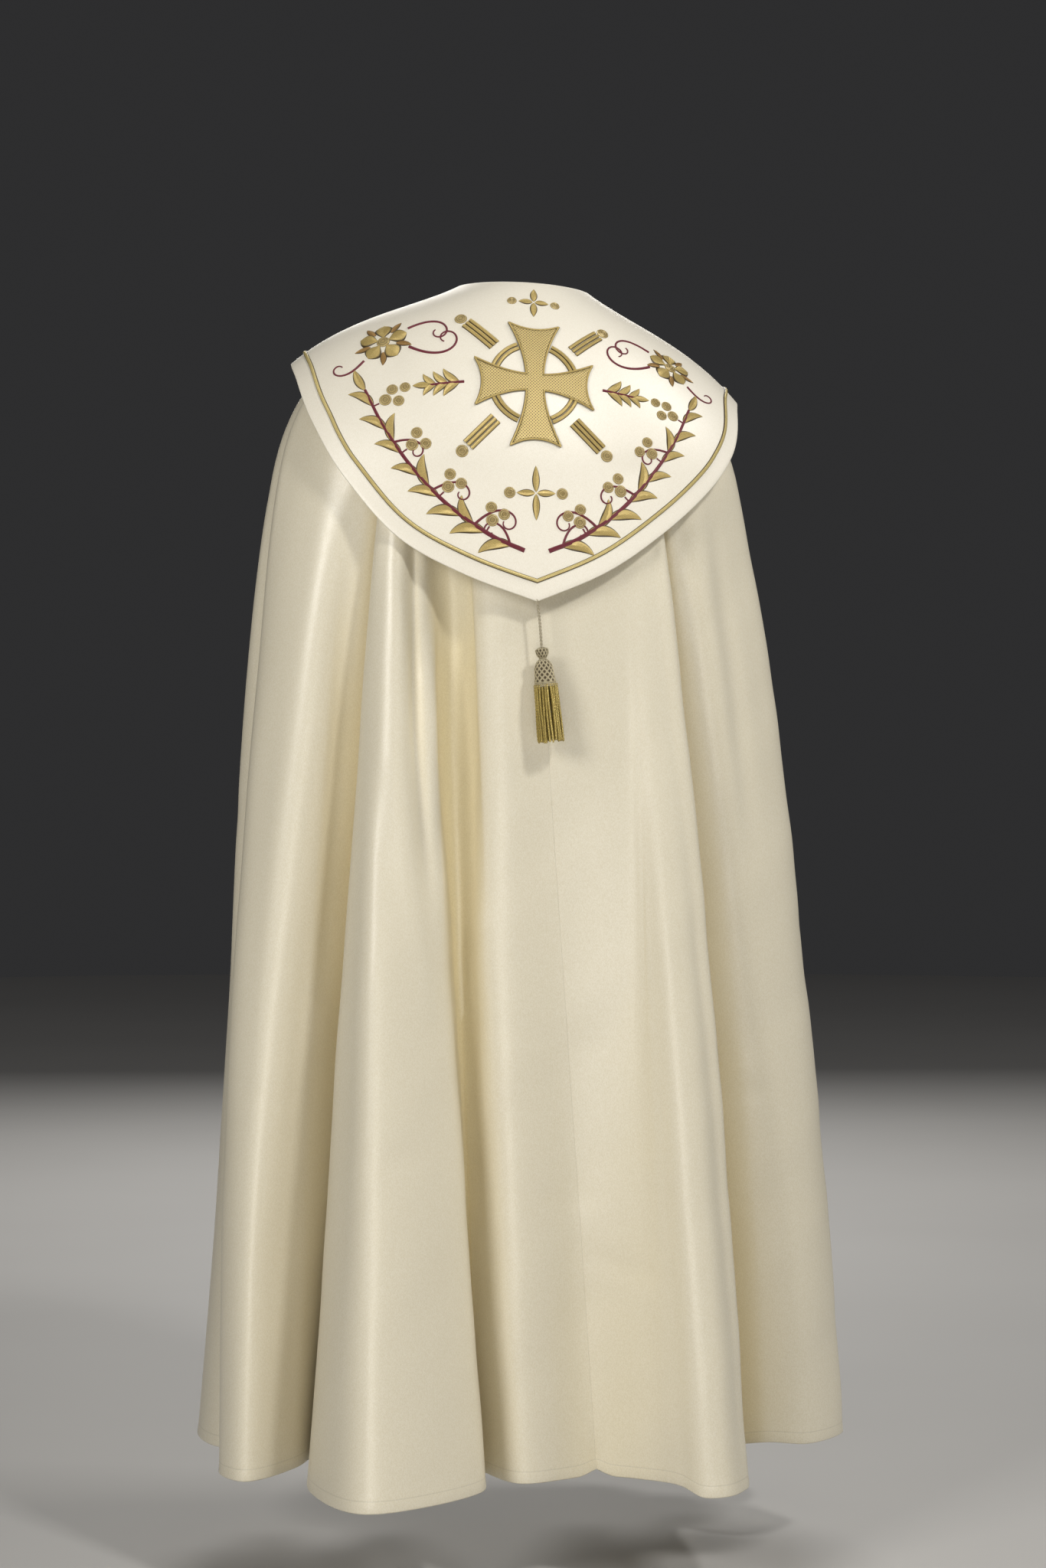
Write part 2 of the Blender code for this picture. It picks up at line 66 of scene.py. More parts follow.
def makePiece(name, points, faces, material, uv, values=None, sharpAngle=50, merge=None):
    # one closed piece: uv and values are given point by point, and points nearer than merge become one
    mesh = bpy.data.meshes.new(name)
    mesh.from_pydata(points, [], [f for q in faces for f in q.tolist()])
    place = np.column_stack([uv, np.zeros(len(uv))])
    mesh.attributes.new("place", "FLOAT_VECTOR", "POINT").data.foreach_set("vector", place.ravel())
    for key, numbers in (values or {}).items():
        mesh.attributes.new(key, "FLOAT", "POINT").data.foreach_set("value", numbers)
    if merge:
        shape = bmesh.new()
        shape.from_mesh(mesh)
        bmesh.ops.remove_doubles(shape, verts=shape.verts, dist=merge)
        shape.to_mesh(mesh)
        shape.free()
    mesh.shade_smooth()
    mesh.set_sharp_from_angle(angle=math.radians(sharpAngle))
    corner = np.empty(len(mesh.loops), np.int32)
    mesh.loops.foreach_get("vertex_index", corner)
    place = np.empty(3 * len(mesh.vertices))
    mesh.attributes["place"].data.foreach_get("vector", place)
    mesh.uv_layers.new(name="flat").data.foreach_set("uv", place.reshape(-1, 3)[corner, :2].ravel())
    mesh.attributes.remove(mesh.attributes["place"])
    mesh.materials.append(material)
    made = addObject(name, mesh)
    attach(made, "root")
    return made


def unit(vectors):
    return vectors / np.maximum(np.linalg.norm(vectors, axis=-1, keepdims=True), 1e-12)


def gridNormals(grid, outward=(1, 1, 0)):
    # cross product of the grid's two directions, turned away from the wearer
    normals = unit(np.cross(np.gradient(grid, axis=0), np.gradient(grid, axis=1)))
    return normals if (normals * grid * outward).sum() > 0 else -normals


def runAlong(path):
    # metres from a path's start to each of its points
    return np.concatenate([[0], np.cumsum(np.linalg.norm(np.diff(path, axis=0), axis=1))])


def readAlong(at, run, rows):
    # each column of the rows, read at these places along their run
    return np.stack([np.interp(at, run, column) for column in rows.T], -1)


def throughRows(rows, knots, at):
    # cubic Hermite curve through the rows, each tangent the mean slope weighted by the gap on the other side
    gaps = np.diff(knots)[:, None]
    slopes = np.diff(rows, axis=0) / gaps
    inner = (slopes[:-1] * gaps[1:] + slopes[1:] * gaps[:-1]) / (gaps[1:] + gaps[:-1])
    tangents = np.vstack([slopes[:1], inner, slopes[-1:]])
    i = np.clip(at.astype(int), 0, len(rows) - 2)
    t = (at - i)[:, None]
    return ((2 * t**3 - 3 * t**2 + 1) * rows[i] + (t**3 - 2 * t**2 + t) * gaps[i] * tangents[i]
            + (3 * t**2 - 2 * t**3) * rows[i + 1] + (t**3 - t**2) * gaps[i] * tangents[i + 1])


def bezier(controls, share):
    a, b, c, d = controls
    rest = 1 - share
    return rest**3 * a + 3 * rest**2 * share * b + 3 * rest * share**2 * c + share**3 * d


def gridQuads(index):
    return np.stack([index[:-1, :-1], index[1:, :-1], index[1:, 1:], index[:-1, 1:]], -1).reshape(-1, 4)


def loopFaces(loops, sides, joined=False):
    # faces along a run of closed loops, with both ends capped or the last loop joined to the first
    index = np.arange(loops * sides).reshape(loops, sides)
    rows = np.concatenate([index, index[:1]]) if joined else index
    a, b = rows[:-1], rows[1:]
    quads = np.stack([a, b, np.roll(b, -1, 1), np.roll(a, -1, 1)], -1).reshape(-1, 4)
    return [quads] if joined else [quads, index[:1], index[-1:, ::-1]]


def runs(grid):
    # metres along the grid from its first column, and from its first row
    around = np.cumsum(np.linalg.norm(np.diff(grid, axis=0, prepend=grid[:1]), axis=2), axis=0)
    down = np.cumsum(np.linalg.norm(np.diff(grid, axis=1, prepend=grid[:, :1]), axis=2), axis=1)
    return around, down


def clothShell(middle, normals, wall, squareColumn=-1, steps=5):
    # outer sheet = middle + normal * wall / 2, inner sheet = middle - normal * wall / 2, and round the border a
    # half circle of the wall's own thickness, cut straight along the square column, where two sheets meet
    columns, rows = middle.shape[:2]
    count = columns * rows
    half = (np.broadcast_to(wall, (columns, rows)) / 2)[..., None]
    i = np.concatenate([np.arange(columns), np.full(rows - 1, columns - 1),
                        np.arange(columns - 2, -1, -1), np.zeros(rows - 2, int)])
    j = np.concatenate([np.zeros(columns, int), np.arange(1, rows),
                        np.full(columns - 1, rows - 1), np.arange(rows - 2, 0, -1)])
    di = (i == columns - 1).astype(int) - (i == 0)
    dj = (j == rows - 1).astype(int) - (j == 0)
    across = unit(middle[i, j] - middle[i - di, j]) * np.abs(di)[:, None]
    along = unit(middle[i, j] - middle[i, j - dj]) * np.abs(dj)[:, None]
    away = unit(across + along) * (i != squareColumn)[:, None]
    angles = math.pi * np.arange(1, steps)[:, None, None] / steps
    turned = middle[i, j] + half[i, j] * (normals[i, j] * np.cos(angles) + away * np.sin(angles))
    points = np.concatenate([sheet.reshape(-1, 3) for sheet in (middle + normals * half, middle - normals * half, turned)])
    quads = gridQuads(np.arange(count).reshape(columns, rows))
    border = i * rows + j
    loops = [border, *(2 * count + np.arange((steps - 1) * len(i)).reshape(steps - 1, -1)), border + count]
    edge = [np.stack([np.roll(a, -1), a, b, np.roll(b, -1)], -1) for a, b in zip(loops[:-1], loops[1:])]
    faces = [quads, quads[:, ::-1] + count, *edge]
    if np.cross(middle[1, 0] - middle[0, 0], middle[0, 1] - middle[0, 0]) @ normals[0, 0] < 0:
        faces = [f[:, ::-1] for f in faces]
    source = np.concatenate([np.arange(count), np.arange(count)] + [border] * (steps - 1))
    return points, faces, source


def makeCloth(name, middle, normals, wall, material, flat, values, **shell):
    # a sheet of cloth with its flat place, metres round and metres down, as its uv
    points, faces, source = clothShell(middle, normals, wall, **shell)
    uv = np.stack([grid.ravel()[source] for grid in flat], -1)
    piece = makePiece(name, points, faces, material, uv, {key: grid.ravel()[source] for key, grid in values.items()})
    area = np.linalg.norm(np.cross(np.diff(middle, axis=0)[:, :-1], np.diff(middle, axis=1)[:-1]), axis=2).sum()
    print(name, "area", round(area, 3), "faces", sum(len(f) for f in faces))
    return piece, round(float(area), 3)


# the wearer's plain form, as in the part's source

rings = {  # share of the turn, shift, side, back, front, height at the side, the back and the front
    "neck": (0.860, 0.000, 0.076, 0.070, 0.092, 0.020, 0.022, -0.036),
    "slope": (0.930, -0.008, 0.140, 0.104, 0.122, -0.020, -0.004, -0.074),
    "shoulder": (0.985, -0.014, 0.242, 0.150, 0.146, -0.052, -0.080, -0.125),
    "yoke": (1.000, -0.016, 0.272, 0.163, 0.153, -0.195, -0.200, -0.215)}
shoulderTilt = 0.055


def ringPoints(name, turns):
    # an oval round the wearer: x = side * sine, y = -reach * cosine, height mixed by cosine squared
    share, shift, side, back, front, sideHeight, backHeight, frontHeight = rings[name]
    turned = turns * share
    behind = np.cos(turned) > 0
    end = np.where(behind, backHeight, frontHeight)
    x = side * np.sin(turned) + shift
    z = sideHeight + (end - sideHeight) * np.cos(turned) ** 2 - shoulderTilt * x
    return np.stack([x, -np.where(behind, back, front) * np.cos(turned), z], -1)


def envelope(turns, share):
    # cubic curve through the four ovals, and straight on below the last
    found = [ringPoints(name, turns) for name in rings]
    over = np.clip(share, 0, 1)[..., None]
    below = np.maximum(share - 1, 0)[..., None]
    return bezier(found, over) + 3 * below * (found[3] - found[2])


# materials

class Bench:
    # short ways to add nodes to a tree, where an input takes a number, a colour or another node's output

    def __init__(self, tree):
        self.tree = tree

    def feed(self, socket, value):
        if isinstance(value, bpy.types.NodeSocket):
            self.tree.links.new(value, socket)
        else:
            socket.default_value = (*value, 1) if socket.type == "RGBA" else value

    def add(self, kind, inputs=(), **settings):
        node = self.tree.nodes.new("ShaderNode" + kind)
        for key, value in settings.items():
            setattr(node, key, value)
        for key, value in dict(inputs).items():
            self.feed(node.inputs[key], value)
        return node.outputs

    def calc(self, operation, *values):
        return self.add("Math", enumerate(values), operation=operation)[0]

    def mix(self, share, a, b, blend="MIX"):
        return self.add("Mix", {0: share, 6: a, 7: b}, data_type="RGBA", blend_type=blend)[2]

    def noise(self, vector, scale, detail=2.0, roughness=0.5):
        return self.add("TexNoise", {"Vector": vector, "Scale": scale, "Detail": detail, "Roughness": roughness})["Fac"]

    def stretch(self, vector, scale):
        return self.add("Mapping", {"Vector": vector, "Scale": scale})["Vector"]

    def ramp(self, value, low, high, toLow=0, toHigh=1):
        return self.add("MapRange", enumerate((value, low, high, toLow, toHigh)))[0]

    def group(self, tree, vector, **values):
        return self.add("Group", {0: vector, **values}, node_tree=tree)

    def value(self, name):
        return self.add("Attribute", attribute_name=name)["Fac"]

    def uv(self):
        return self.add("UVMap", uv_map="flat")["UV"]

    def place(self):
        return self.add("TexCoord")["Object"]

    def dress(self, colour, rough, bump=None, metal=None, **constants):
        # feeds the material's shader; bump is a height, a distance and a strength
        sockets = {"Base Color": colour, "Roughness": rough}
        if metal is not None:
            sockets["Metallic"] = metal
        if bump:
            sockets["Normal"] = self.add("Bump", zip(("Height", "Distance", "Strength"), bump))[0]
        sockets.update({label.replace("_", " "): value for label, value in constants.items()})
        for label, value in sockets.items():
            self.feed(self.tree.nodes["Principled BSDF"].inputs[label], value)


def newMaterial(name):
    material = bpy.data.materials.new(name)
    material.use_nodes = True
    return material, Bench(material.node_tree)


def newGroup(name, inputs, outputs):
    # a node group with these sockets, its input sockets and its output sockets
    tree = bpy.data.node_groups.new(name, "ShaderNodeTree")
    for label, kind, value in inputs:
        made = tree.interface.new_socket(name=label, in_out="INPUT", socket_type="NodeSocket" + kind)
        if value is not None:
            made.default_value = value
    for label in outputs:
        tree.interface.new_socket(name=label, in_out="OUTPUT", socket_type="NodeSocketFloat")
    return tree, Bench(tree), tree.nodes.new("NodeGroupInput").outputs, tree.nodes.new("NodeGroupOutput").inputs


def makeGrainGroup():
    # satin's fine broken grain: short threads longer down the cloth than across, and slow clouding
    tree, bench, start, end = newGroup("satinGrain", [("Place", "Vector", None), ("Thread", "Float", 1.0)],
                                       ["Grain", "Cloud", "Height"])
    place = bench.add("VectorMath", {0: start["Place"], "Scale": start["Thread"]}, operation="SCALE")[0]
    fine = bench.noise(bench.stretch(place, (1050, 1050, 520)), 1.0, 1.0, 0.6)
    flock = bench.noise(bench.stretch(place, (330, 330, 210)), 1.0, 2.0, 0.6)
    slub = bench.noise(bench.stretch(place, (420, 420, 26)), 1.0, 2.0, 0.5)
    grain = bench.calc("ADD", bench.calc("MULTIPLY", fine, 0.78), bench.calc("MULTIPLY", flock, 0.22))
    bench.feed(end["Grain"], grain)
    bench.feed(end["Cloud"], bench.noise(start["Place"], 9.0, 3.0, 0.55))
    bench.feed(end["Height"], bench.calc("ADD", grain, bench.calc("MULTIPLY", slub, 0.25)))
    return tree


def makeThreadGroup():
    # wound or satin-stitched thread: slanted ridges across a band, read from a uv in metres
    tree, bench, start, end = newGroup(
        "metalThread", [("Flat", "Vector", None), ("Pitch", "Float", 0.0009), ("Slant", "Float", 0.6)], ["Ridge", "Fray"])
    split = bench.add("SeparateXYZ", {0: start["Flat"]})
    slid = bench.calc("MULTIPLY_ADD", split[1], start["Slant"], split[0])
    slid = bench.calc("MULTIPLY_ADD", bench.noise(start["Flat"], 260.0), 0.0006, slid)
    turns = bench.calc("DIVIDE", slid, start["Pitch"])
    wave = bench.calc("SINE", bench.calc("MULTIPLY", turns, 2 * math.pi))
    bench.feed(end["Ridge"], bench.ramp(wave, -1, 1))
    bench.feed(end["Fray"], bench.noise(bench.stretch(start["Flat"], (900, 900, 900)), 1.0, 2.0, 0.6))
    return tree


grainGroup = makeGrainGroup()
threadGroup = makeThreadGroup()
stitches = {"inset": 0.012, "half": 0.0011, "length": 0.0022, "gap": (0.0003, 0.0008), "dark": 0.30, "pull": 1.2}


def satinMaterial(name, light, shade, roughness, grain, stitch=False, depth=False):
    # satin cloth: base colour mixed from light to shade by grain and clouding, rougher between the threads,
    # and with painted shade, darker and more amber, deep in a fold
    material, bench = newMaterial(name)
    group = bench.group(grainGroup, bench.place(), Thread=grain)
    colour = bench.mix(bench.ramp(group["Grain"], 0.38, 0.62), shade, light)
    colour = bench.mix(bench.ramp(group["Cloud"], 0.3, 0.7, 0, 0.05), colour, tuple(0.93 * c for c in shade))
    # painted shade: the base colour turned darker and more amber where the cloth lies deep in a fold
    if depth:
        colour = bench.mix(bench.ramp(bench.value("deep"), 0.18, 0.70, 0, 0.8), colour, (0.97, 0.90, 0.66), "MULTIPLY")
    height = group["Height"]
    if stitch:
        # one line of small stitches, a set distance in from the hem, pulled a little into the cloth
        fromLine = bench.calc("ABSOLUTE", bench.calc("SUBTRACT", bench.value("fromEdge"), stitches["inset"]))
        line = bench.ramp(fromLine, 0.0, stitches["half"], 1, 0)
        along = bench.add("SeparateXYZ", {0: bench.uv()})[0]
        gap = bench.ramp(bench.calc("PINGPONG", along, stitches["length"]), *stitches["gap"])
        colour = bench.mix(bench.calc("MULTIPLY", line, stitches["dark"]), colour, tuple(0.6 * c for c in shade))
        pull = bench.calc("MULTIPLY", bench.calc("MULTIPLY", line, gap), stitches["pull"])
        height = bench.calc("SUBTRACT", height, pull)
    rough = bench.ramp(group["Grain"], 0.3, 0.7, roughness + 0.06, roughness - 0.06)
    bench.dress(colour, rough, (height, 0.00025, 0.35), Sheen_Weight=0.06, Sheen_Roughness=0.4,
                Sheen_Tint=(1.0, 0.93, 0.78), Specular_IOR_Level=1.05, Anisotropic=0.25)
    return material


def goldMaterial(name, paintedHighlight, dark, pitch, slant, metallic, outline=None, roughness=0.36, bump=0.0005):
    # metal thread: a painted highlight on each ridge and painted shade between, with a dark outline where the edge
    # value nears one
    material, bench = newMaterial(name)
    group = bench.group(threadGroup, bench.uv(), Pitch=pitch, Slant=slant)
    # painted highlight on each thread ridge and painted shade between the ridges
    colour = bench.mix(bench.ramp(group["Ridge"], 0.0, 0.75), dark, paintedHighlight)
    colour = bench.mix(bench.ramp(group["Fray"], 0.45, 0.75, 0, 0.5), colour, dark)
    metal = bench.ramp(group["Ridge"], 0.0, 0.6, metallic * 0.6, metallic)
    if outline:
        edge = bench.ramp(bench.value("edge"), *outline)
        colour = bench.mix(edge, colour, (0.055, 0.032, 0.010))
        metal = bench.calc("MULTIPLY", metal, bench.calc("SUBTRACT", 1.0, edge))
    rough = bench.ramp(group["Fray"], 0.3, 0.7, roughness - 0.08, roughness + 0.12)
    bench.dress(colour, rough, (group["Ridge"], bump, 0.7), metal, Specular_IOR_Level=0.6, Anisotropic=0.3)
    return material


def couchedMaterial(name, paintedHighlight, dark, cell=0.0036):
    # basket couching: gold threads laid side by side and tied down at the points of a diagonal lattice, with a painted
    # highlight on each thread's ridge and painted shade in the grooves along the lattice lines
    material, bench = newMaterial(name)
    u, v = bench.add("SeparateXYZ", {0: bench.uv()})[:2]
    group = bench.group(threadGroup, bench.uv(), Pitch=0.0011, Slant=1.0)
    one, two = (bench.calc("PINGPONG", bench.calc(way, u, v), cell / 2) for way in ("ADD", "SUBTRACT"))
    near = bench.calc("MINIMUM", one, two)
    squares = bench.calc("ADD", bench.calc("POWER", one, 2.0), bench.calc("POWER", two, 2.0))
    dot = bench.ramp(bench.calc("POWER", squares, 0.5), 0.00055, 0.00100, 1, 0)
    # painted highlight on the thread ridges, painted shade between them
    colour = bench.mix(bench.ramp(group["Ridge"], 0.1, 0.8, 0.25, 1), dark, paintedHighlight)
    # painted shade in the grooves along the lattice lines between the pillows
    colour = bench.mix(bench.calc("MULTIPLY", bench.ramp(near, 0.0, 0.0007, 1, 0), 0.45), colour, dark)
    colour = bench.mix(dot, colour, (0.060, 0.032, 0.008))
    edge = bench.ramp(bench.value("edge"), 0.80, 0.95)
    colour = bench.mix(edge, colour, (0.035, 0.018, 0.008))
    metal = bench.ramp(bench.calc("MAXIMUM", dot, edge), 0, 1, 0.45, 0.1)
    pillow = bench.calc("SUBTRACT", bench.calc("MULTIPLY", near, 260.0), dot)
    height = bench.calc("ADD", pillow, bench.calc("MULTIPLY", group["Ridge"], 0.35))
    bench.dress(colour, bench.ramp(group["Fray"], 0.3, 0.7, 0.30, 0.48), (height, 0.0006, 0.8), metal,
                Specular_IOR_Level=0.6)
    return material


def silkMaterial(name, paintedHighlight, dark):
    # satin stitch in silk: fine slanted threads with a painted highlight on each ridge and painted shade between, a
    # soft gloss and no metal
    material, bench = newMaterial(name)
    group = bench.group(threadGroup, bench.uv(), Pitch=0.0007, Slant=1.1)
    # painted highlight on each thread ridge and painted shade between the ridges
    colour = bench.mix(bench.ramp(group["Ridge"], 0.0, 0.8), dark, paintedHighlight)
    bench.dress(colour, bench.ramp(group["Fray"], 0.3, 0.7, 0.34, 0.5), (group["Ridge"], 0.0004, 0.6),
                Specular_IOR_Level=0.5, Sheen_Weight=0.15, Sheen_Roughness=0.4)
    return material


def nettingMaterial(name):
    # netted gold thread, with a painted highlight on each thread's ridge and painted shade between, and darker in the
    # gaps between the net's cords
    material, bench = newMaterial(name)
    group = bench.group(threadGroup, bench.uv(), Pitch=0.0007, Slant=1.0)
    net = bench.value("edge")
    # painted highlight on each thread ridge and painted shade between the ridges
    colour = bench.mix(group["Ridge"], (0.48, 0.40, 0.24), (0.84, 0.77, 0.56))
    colour = bench.mix(bench.ramp(net, 0.15, 0.55, 1, 0), colour, (0.10, 0.07, 0.03))
    bench.dress(colour, bench.ramp(group["Fray"], 0.3, 0.7, 0.32, 0.5), (group["Ridge"], 0.0004, 0.6),
                bench.ramp(net, 0.1, 0.5, 0.1, 0.6), Specular_IOR_Level=0.6)
    return material


# colours in the light and in the shade, roughness and grain; or the thread's painted highlight and painted shade
# colours, pitch, slant, metallic and outline
# the mantle's satin has the hem's stitch line and painted shade deep in its folds
mantleSatin = satinMaterial("mantle satin", (0.84, 0.785, 0.645), (0.77, 0.705, 0.545), 0.385, 1.0, True, True)
# the hood's satin is paler than the mantle's: partly its own colour, partly painted light for the hood's brighter lit
# top
hoodSatin = satinMaterial("hood satin", (0.95, 0.90, 0.79), (0.89, 0.835, 0.71), 0.44, 1.15)
claspSatin = satinMaterial("clasp satin", (0.86, 0.79, 0.64), (0.76, 0.68, 0.52), 0.44, 1.1, True)
goldEdging = goldMaterial("gold edging cord", (0.92, 0.79, 0.36), (0.46, 0.32, 0.10), 0.0014, 0.9, 0.35, (0.62, 0.84))
goldThread = goldMaterial("gold satin stitch", (0.90, 0.72, 0.29), (0.40, 0.255, 0.07), 0.0012, 0.8, 0.4, (0.66, 0.86))
copperThread = goldMaterial("copper satin stitch", (0.66, 0.42, 0.15), (0.22, 0.10, 0.03), 0.0012, 0.8, 0.45, (0.66, 0.86))
goldCouching = couchedMaterial("gold basket couching", (0.90, 0.74, 0.35), (0.46, 0.31, 0.10))
goldCoil = goldMaterial("gold coil", (0.90, 0.75, 0.38), (0.30, 0.18, 0.05), 0.0012, 1.6, 0.4, (0.74, 0.93))
burgundySilk = silkMaterial("burgundy silk stitch", (0.25, 0.028, 0.052), (0.10, 0.010, 0.020))
cordMetal = goldMaterial("silver gold cord", (0.92, 0.85, 0.66), (0.24, 0.18, 0.10), 0.0012, 1.4, 0.25, roughness=0.4)
strandGold = goldMaterial("bullion strands", (0.92, 0.73, 0.23), (0.13, 0.08, 0.012), 0.0017, 0.7, 0.5,
                          roughness=0.28, bump=0.0008)
netting = nettingMaterial("tassel netting")
print("materials made")


# mantle, in two halves joined down the middle of the back

mantle = {"wall": 0.0019, "hemWall": 0.0030, "hemRoll": 0.0035, "hemHeight": -1.340, "lead": 1.15, "tail": 0.60,
          "columns": 300, "capRows": 28, "fallRows": 128, "seamGap": 0.00012, "plainAbove": 0.16, "plainFade": 0.08}

# one row a fold, from the wearer's left front edge round the back to the right front edge: where its left
# side, crown, right side and valley leave the yoke, in degrees; the valley's dent; how far the crown bows
# out; the hem's drop; and where the four meet the hem, seen from above
folds = (
    ((-175.5, -170, -163, -157), 0.004, 0.004, 0, (-0.085, 0.262), (-0.118, 0.296), (-0.152, 0.272), (-0.166, 0.205)),
    ((-150, -140, -131, -122), 0.006, 0.006, 0, (-0.206, 0.262), (-0.246, 0.322), (-0.296, 0.290), (-0.272, 0.206)),
    ((-112, -101, -91, -83), 0.014, 0, 0, (-0.338, 0.256), (-0.368, 0.178), (-0.354, 0.088), (-0.285, 0.030)),
    ((-76, -61, -47, -40.5), 0.020, 0.018, -0.006,
     (-0.365, -0.080), (-0.342, -0.134), (-0.277, -0.072), (-0.242, 0.010)),
    ((-37, -34, -28, -22), 0.010, 0.004, 0, (-0.271, -0.180), (-0.226, -0.291), (-0.084, -0.206), (-0.071, -0.095)),
    ((-15, 0, 18, 22), 0, 0.002, 0, (-0.033, -0.172), (0.059, -0.148), (0.115, -0.180), (0.143, -0.215)),
    ((25, 29, 31.5, 36), 0.020, 0.003, 0.008, (0.163, -0.242), (0.192, -0.242), (0.226, -0.190), (0.250, 0.010)),
    ((43, 55, 72, 86), 0.012, 0.014, -0.006, (0.288, -0.032), (0.333, -0.047), (0.393, 0.020), (0.316, 0.078)),
    ((95, 105, 114, 122), 0.008, 0.008, 0, (0.360, 0.122), (0.380, 0.196), (0.346, 0.256), (0.276, 0.206)),
    ((131, 140, 149, 156), 0.006, 0.006, 0, (0.302, 0.284), (0.256, 0.327), (0.208, 0.270), (0.172, 0.208)),
    ((162, 168, 172, 175.5), 0, 0.004, 0, (0.156, 0.274), (0.124, 0.298), (0.100, 0.286), (0.088, 0.262)))

# creases laid on the folds: places along each as a column, counted from the left front edge with
# four to a fold, and metres down from the neck; then its half width and its height, minus for a trough
creases = (
    # the left arm's fold: its right flank drawn back below the hood, its crown, and a soft step outside it
    (((13.8, 0.20), (14.15, 0.38), (14.4, 0.56), (14.35, 0.90)), 0.026, -0.0090),
    (((13.8, 0.28), (13.6, 0.48), (13.55, 0.72), (13.5, 1.15)), 0.022, 0.0030),
    (((12.6, 0.40), (12.7, 0.70), (12.9, 1.10)), 0.030, -0.0035),
    (((11.3, 0.14), (11.3, 0.42), (11.4, 0.80)), 0.022, 0.0110),
    # the inner back fold: its ridge, a groove beside it, a second ridge that runs into the first, a deep valley
    (((17.1, 0.20), (17.36, 0.44), (17.36, 0.60), (17.8, 0.90)), 0.017, 0.0095),
    (((18.05, 0.22), (17.90, 0.42), (17.84, 0.57), (17.86, 0.78)), 0.010, -0.0100),
    (((19.3, 0.24), (18.85, 0.43), (18.36, 0.51), (18.10, 0.60), (18.0, 0.84)), 0.016, 0.0080),
    (((19.7, 0.22), (19.25, 0.42), (19.12, 0.58), (19.35, 0.80), (19.40, 1.15)), 0.019, -0.0080),
    (((18.7, 0.08), (19.2, 0.26), (19.5, 0.44), (19.6, 0.78)), 0.032, -0.0200),
    (((16.4, 0.40), (16.3, 0.70), (16.5, 1.20)), 0.020, -0.0020),
    # the wide middle of the back
    (((20.62, 0.42), (20.56, 0.50), (20.53, 0.60)), 0.007, -0.0006),
    (((21.3, 0.50), (21.35, 0.75), (21.35, 1.15)), 0.040, -0.0022),
    (((23.2, 0.52), (22.9, 0.68), (22.5, 0.90)), 0.0022, -0.0006),
    (((20.0, 0.30), (19.9, 0.62), (19.9, 1.25)), 0.026, -0.0045),
    (((24.2, 0.50), (23.9, 0.85), (23.9, 1.30)), 0.026, 0.0018),
    # the right arm's fold, and the edge of the middle's last fold beside it
    (((28.7, 0.26), (28.7, 0.44), (28.6, 0.72)), 0.016, -0.0045),
    (((29.9, 0.20), (29.9, 0.42), (29.8, 0.78)), 0.028, 0.0065),
    (((29.4, 0.50), (29.5, 0.90), (29.3, 1.30)), 0.030, 0.0035),
    (((26.9, 0.18), (26.9, 0.50), (26.8, 0.90), (26.7, 1.46)), 0.013, -0.0130),
    (((25.9, 0.18), (25.9, 0.50), (25.9, 0.90), (25.8, 1.46)), 0.010, 0.0090),
    (((28.0, 0.30), (28.0, 0.52), (28.1, 0.86)), 0.016, 0.0014),
    # the hidden sides and the front
    (((8.3, 0.36), (8.5, 0.70), (8.8, 1.20)), 0.022, -0.0045),
    (((9.6, 0.30), (9.5, 0.55), (9.7, 0.90)), 0.016, 0.0045),
    (((5.3, 0.30), (5.2, 0.62), (5.4, 1.10)), 0.018, -0.0040),
    (((4.6, 0.45), (4.5, 0.85), (4.6, 1.30)), 0.020, 0.0035),
    (((1.5, 0.35), (1.4, 0.70), (1.6, 1.25)), 0.014, -0.0030),
    (((32.6, 0.34), (32.4, 0.66), (32.7, 1.20)), 0.020, -0.0045),
    (((33.5, 0.40), (33.6, 0.80), (33.4, 1.28)), 0.018, 0.0040),
    (((36.6, 0.32), (36.4, 0.60), (36.7, 1.10)), 0.018, -0.0040),
    (((37.6, 0.45), (37.5, 0.90), (37.7, 1.30)), 0.018, 0.0030),
    (((41.3, 0.35), (41.5, 0.75), (41.3, 1.25)), 0.014, -0.0030))
dimples = (  # soft dents: column, metres down, half size round and down, slope, height
    (20.55, 0.885, 0.060, 0.007, 0.12, -0.0014), (20.7, 1.075, 0.050, 0.006, -0.18, -0.0012),
    (21.8, 1.150, 0.055, 0.009, 0.30, -0.0012), (17.3, 1.050, 0.045, 0.010, -0.15, -0.0010),
    (27.8, 0.980, 0.040, 0.009, 0.25, -0.0012), (13.4, 1.020, 0.035, 0.010, -0.20, -0.0012),
    (9.0, 0.720, 0.045, 0.022, 0.20, -0.0009), (35.8, 0.800, 0.045, 0.022, -0.22, -0.0009),
    (21.0, 1.378, 0.006, 0.020, 0.0, -0.0030))
unevenness = (  # slow waves: metres round, metres down, phase, height
    (0.31, 1.9, 0.4, 0.0006), (0.17, 1.3, 2.1, 0.0003), (0.093, 0.9, 4.4, 0.00012))
pucker = {"column": 21.0, "half": 0.013, "tall": 0.035, "lift": 0.0065}  # the hem drawn up at the seam's foot
# column steps to the neighbours read for the mask of the painted fold shade
foldShadeSteps = (-28, -21, -14, -7, 7, 14, 21, 28)


def foldColumns(at):
    # each column's turn, dent, bow, drop and place on the hem, at these places between the folds' rows
    rows = []
    for turns, dent, bow, drop, *hem in folds:
        for turn, dented, bowed, spot in zip(np.radians(turns), (0, 0, 0, dent), (bow, bow, bow, 0), hem):
            rows.append((turn, dented, bowed, drop, *spot))
    rows = np.array(rows, float)
    steps = np.sqrt(np.linalg.norm(np.diff(rows[:, 4:], axis=0), axis=1))
    return throughRows(rows, np.concatenate([[0], np.cumsum(steps)]), at)


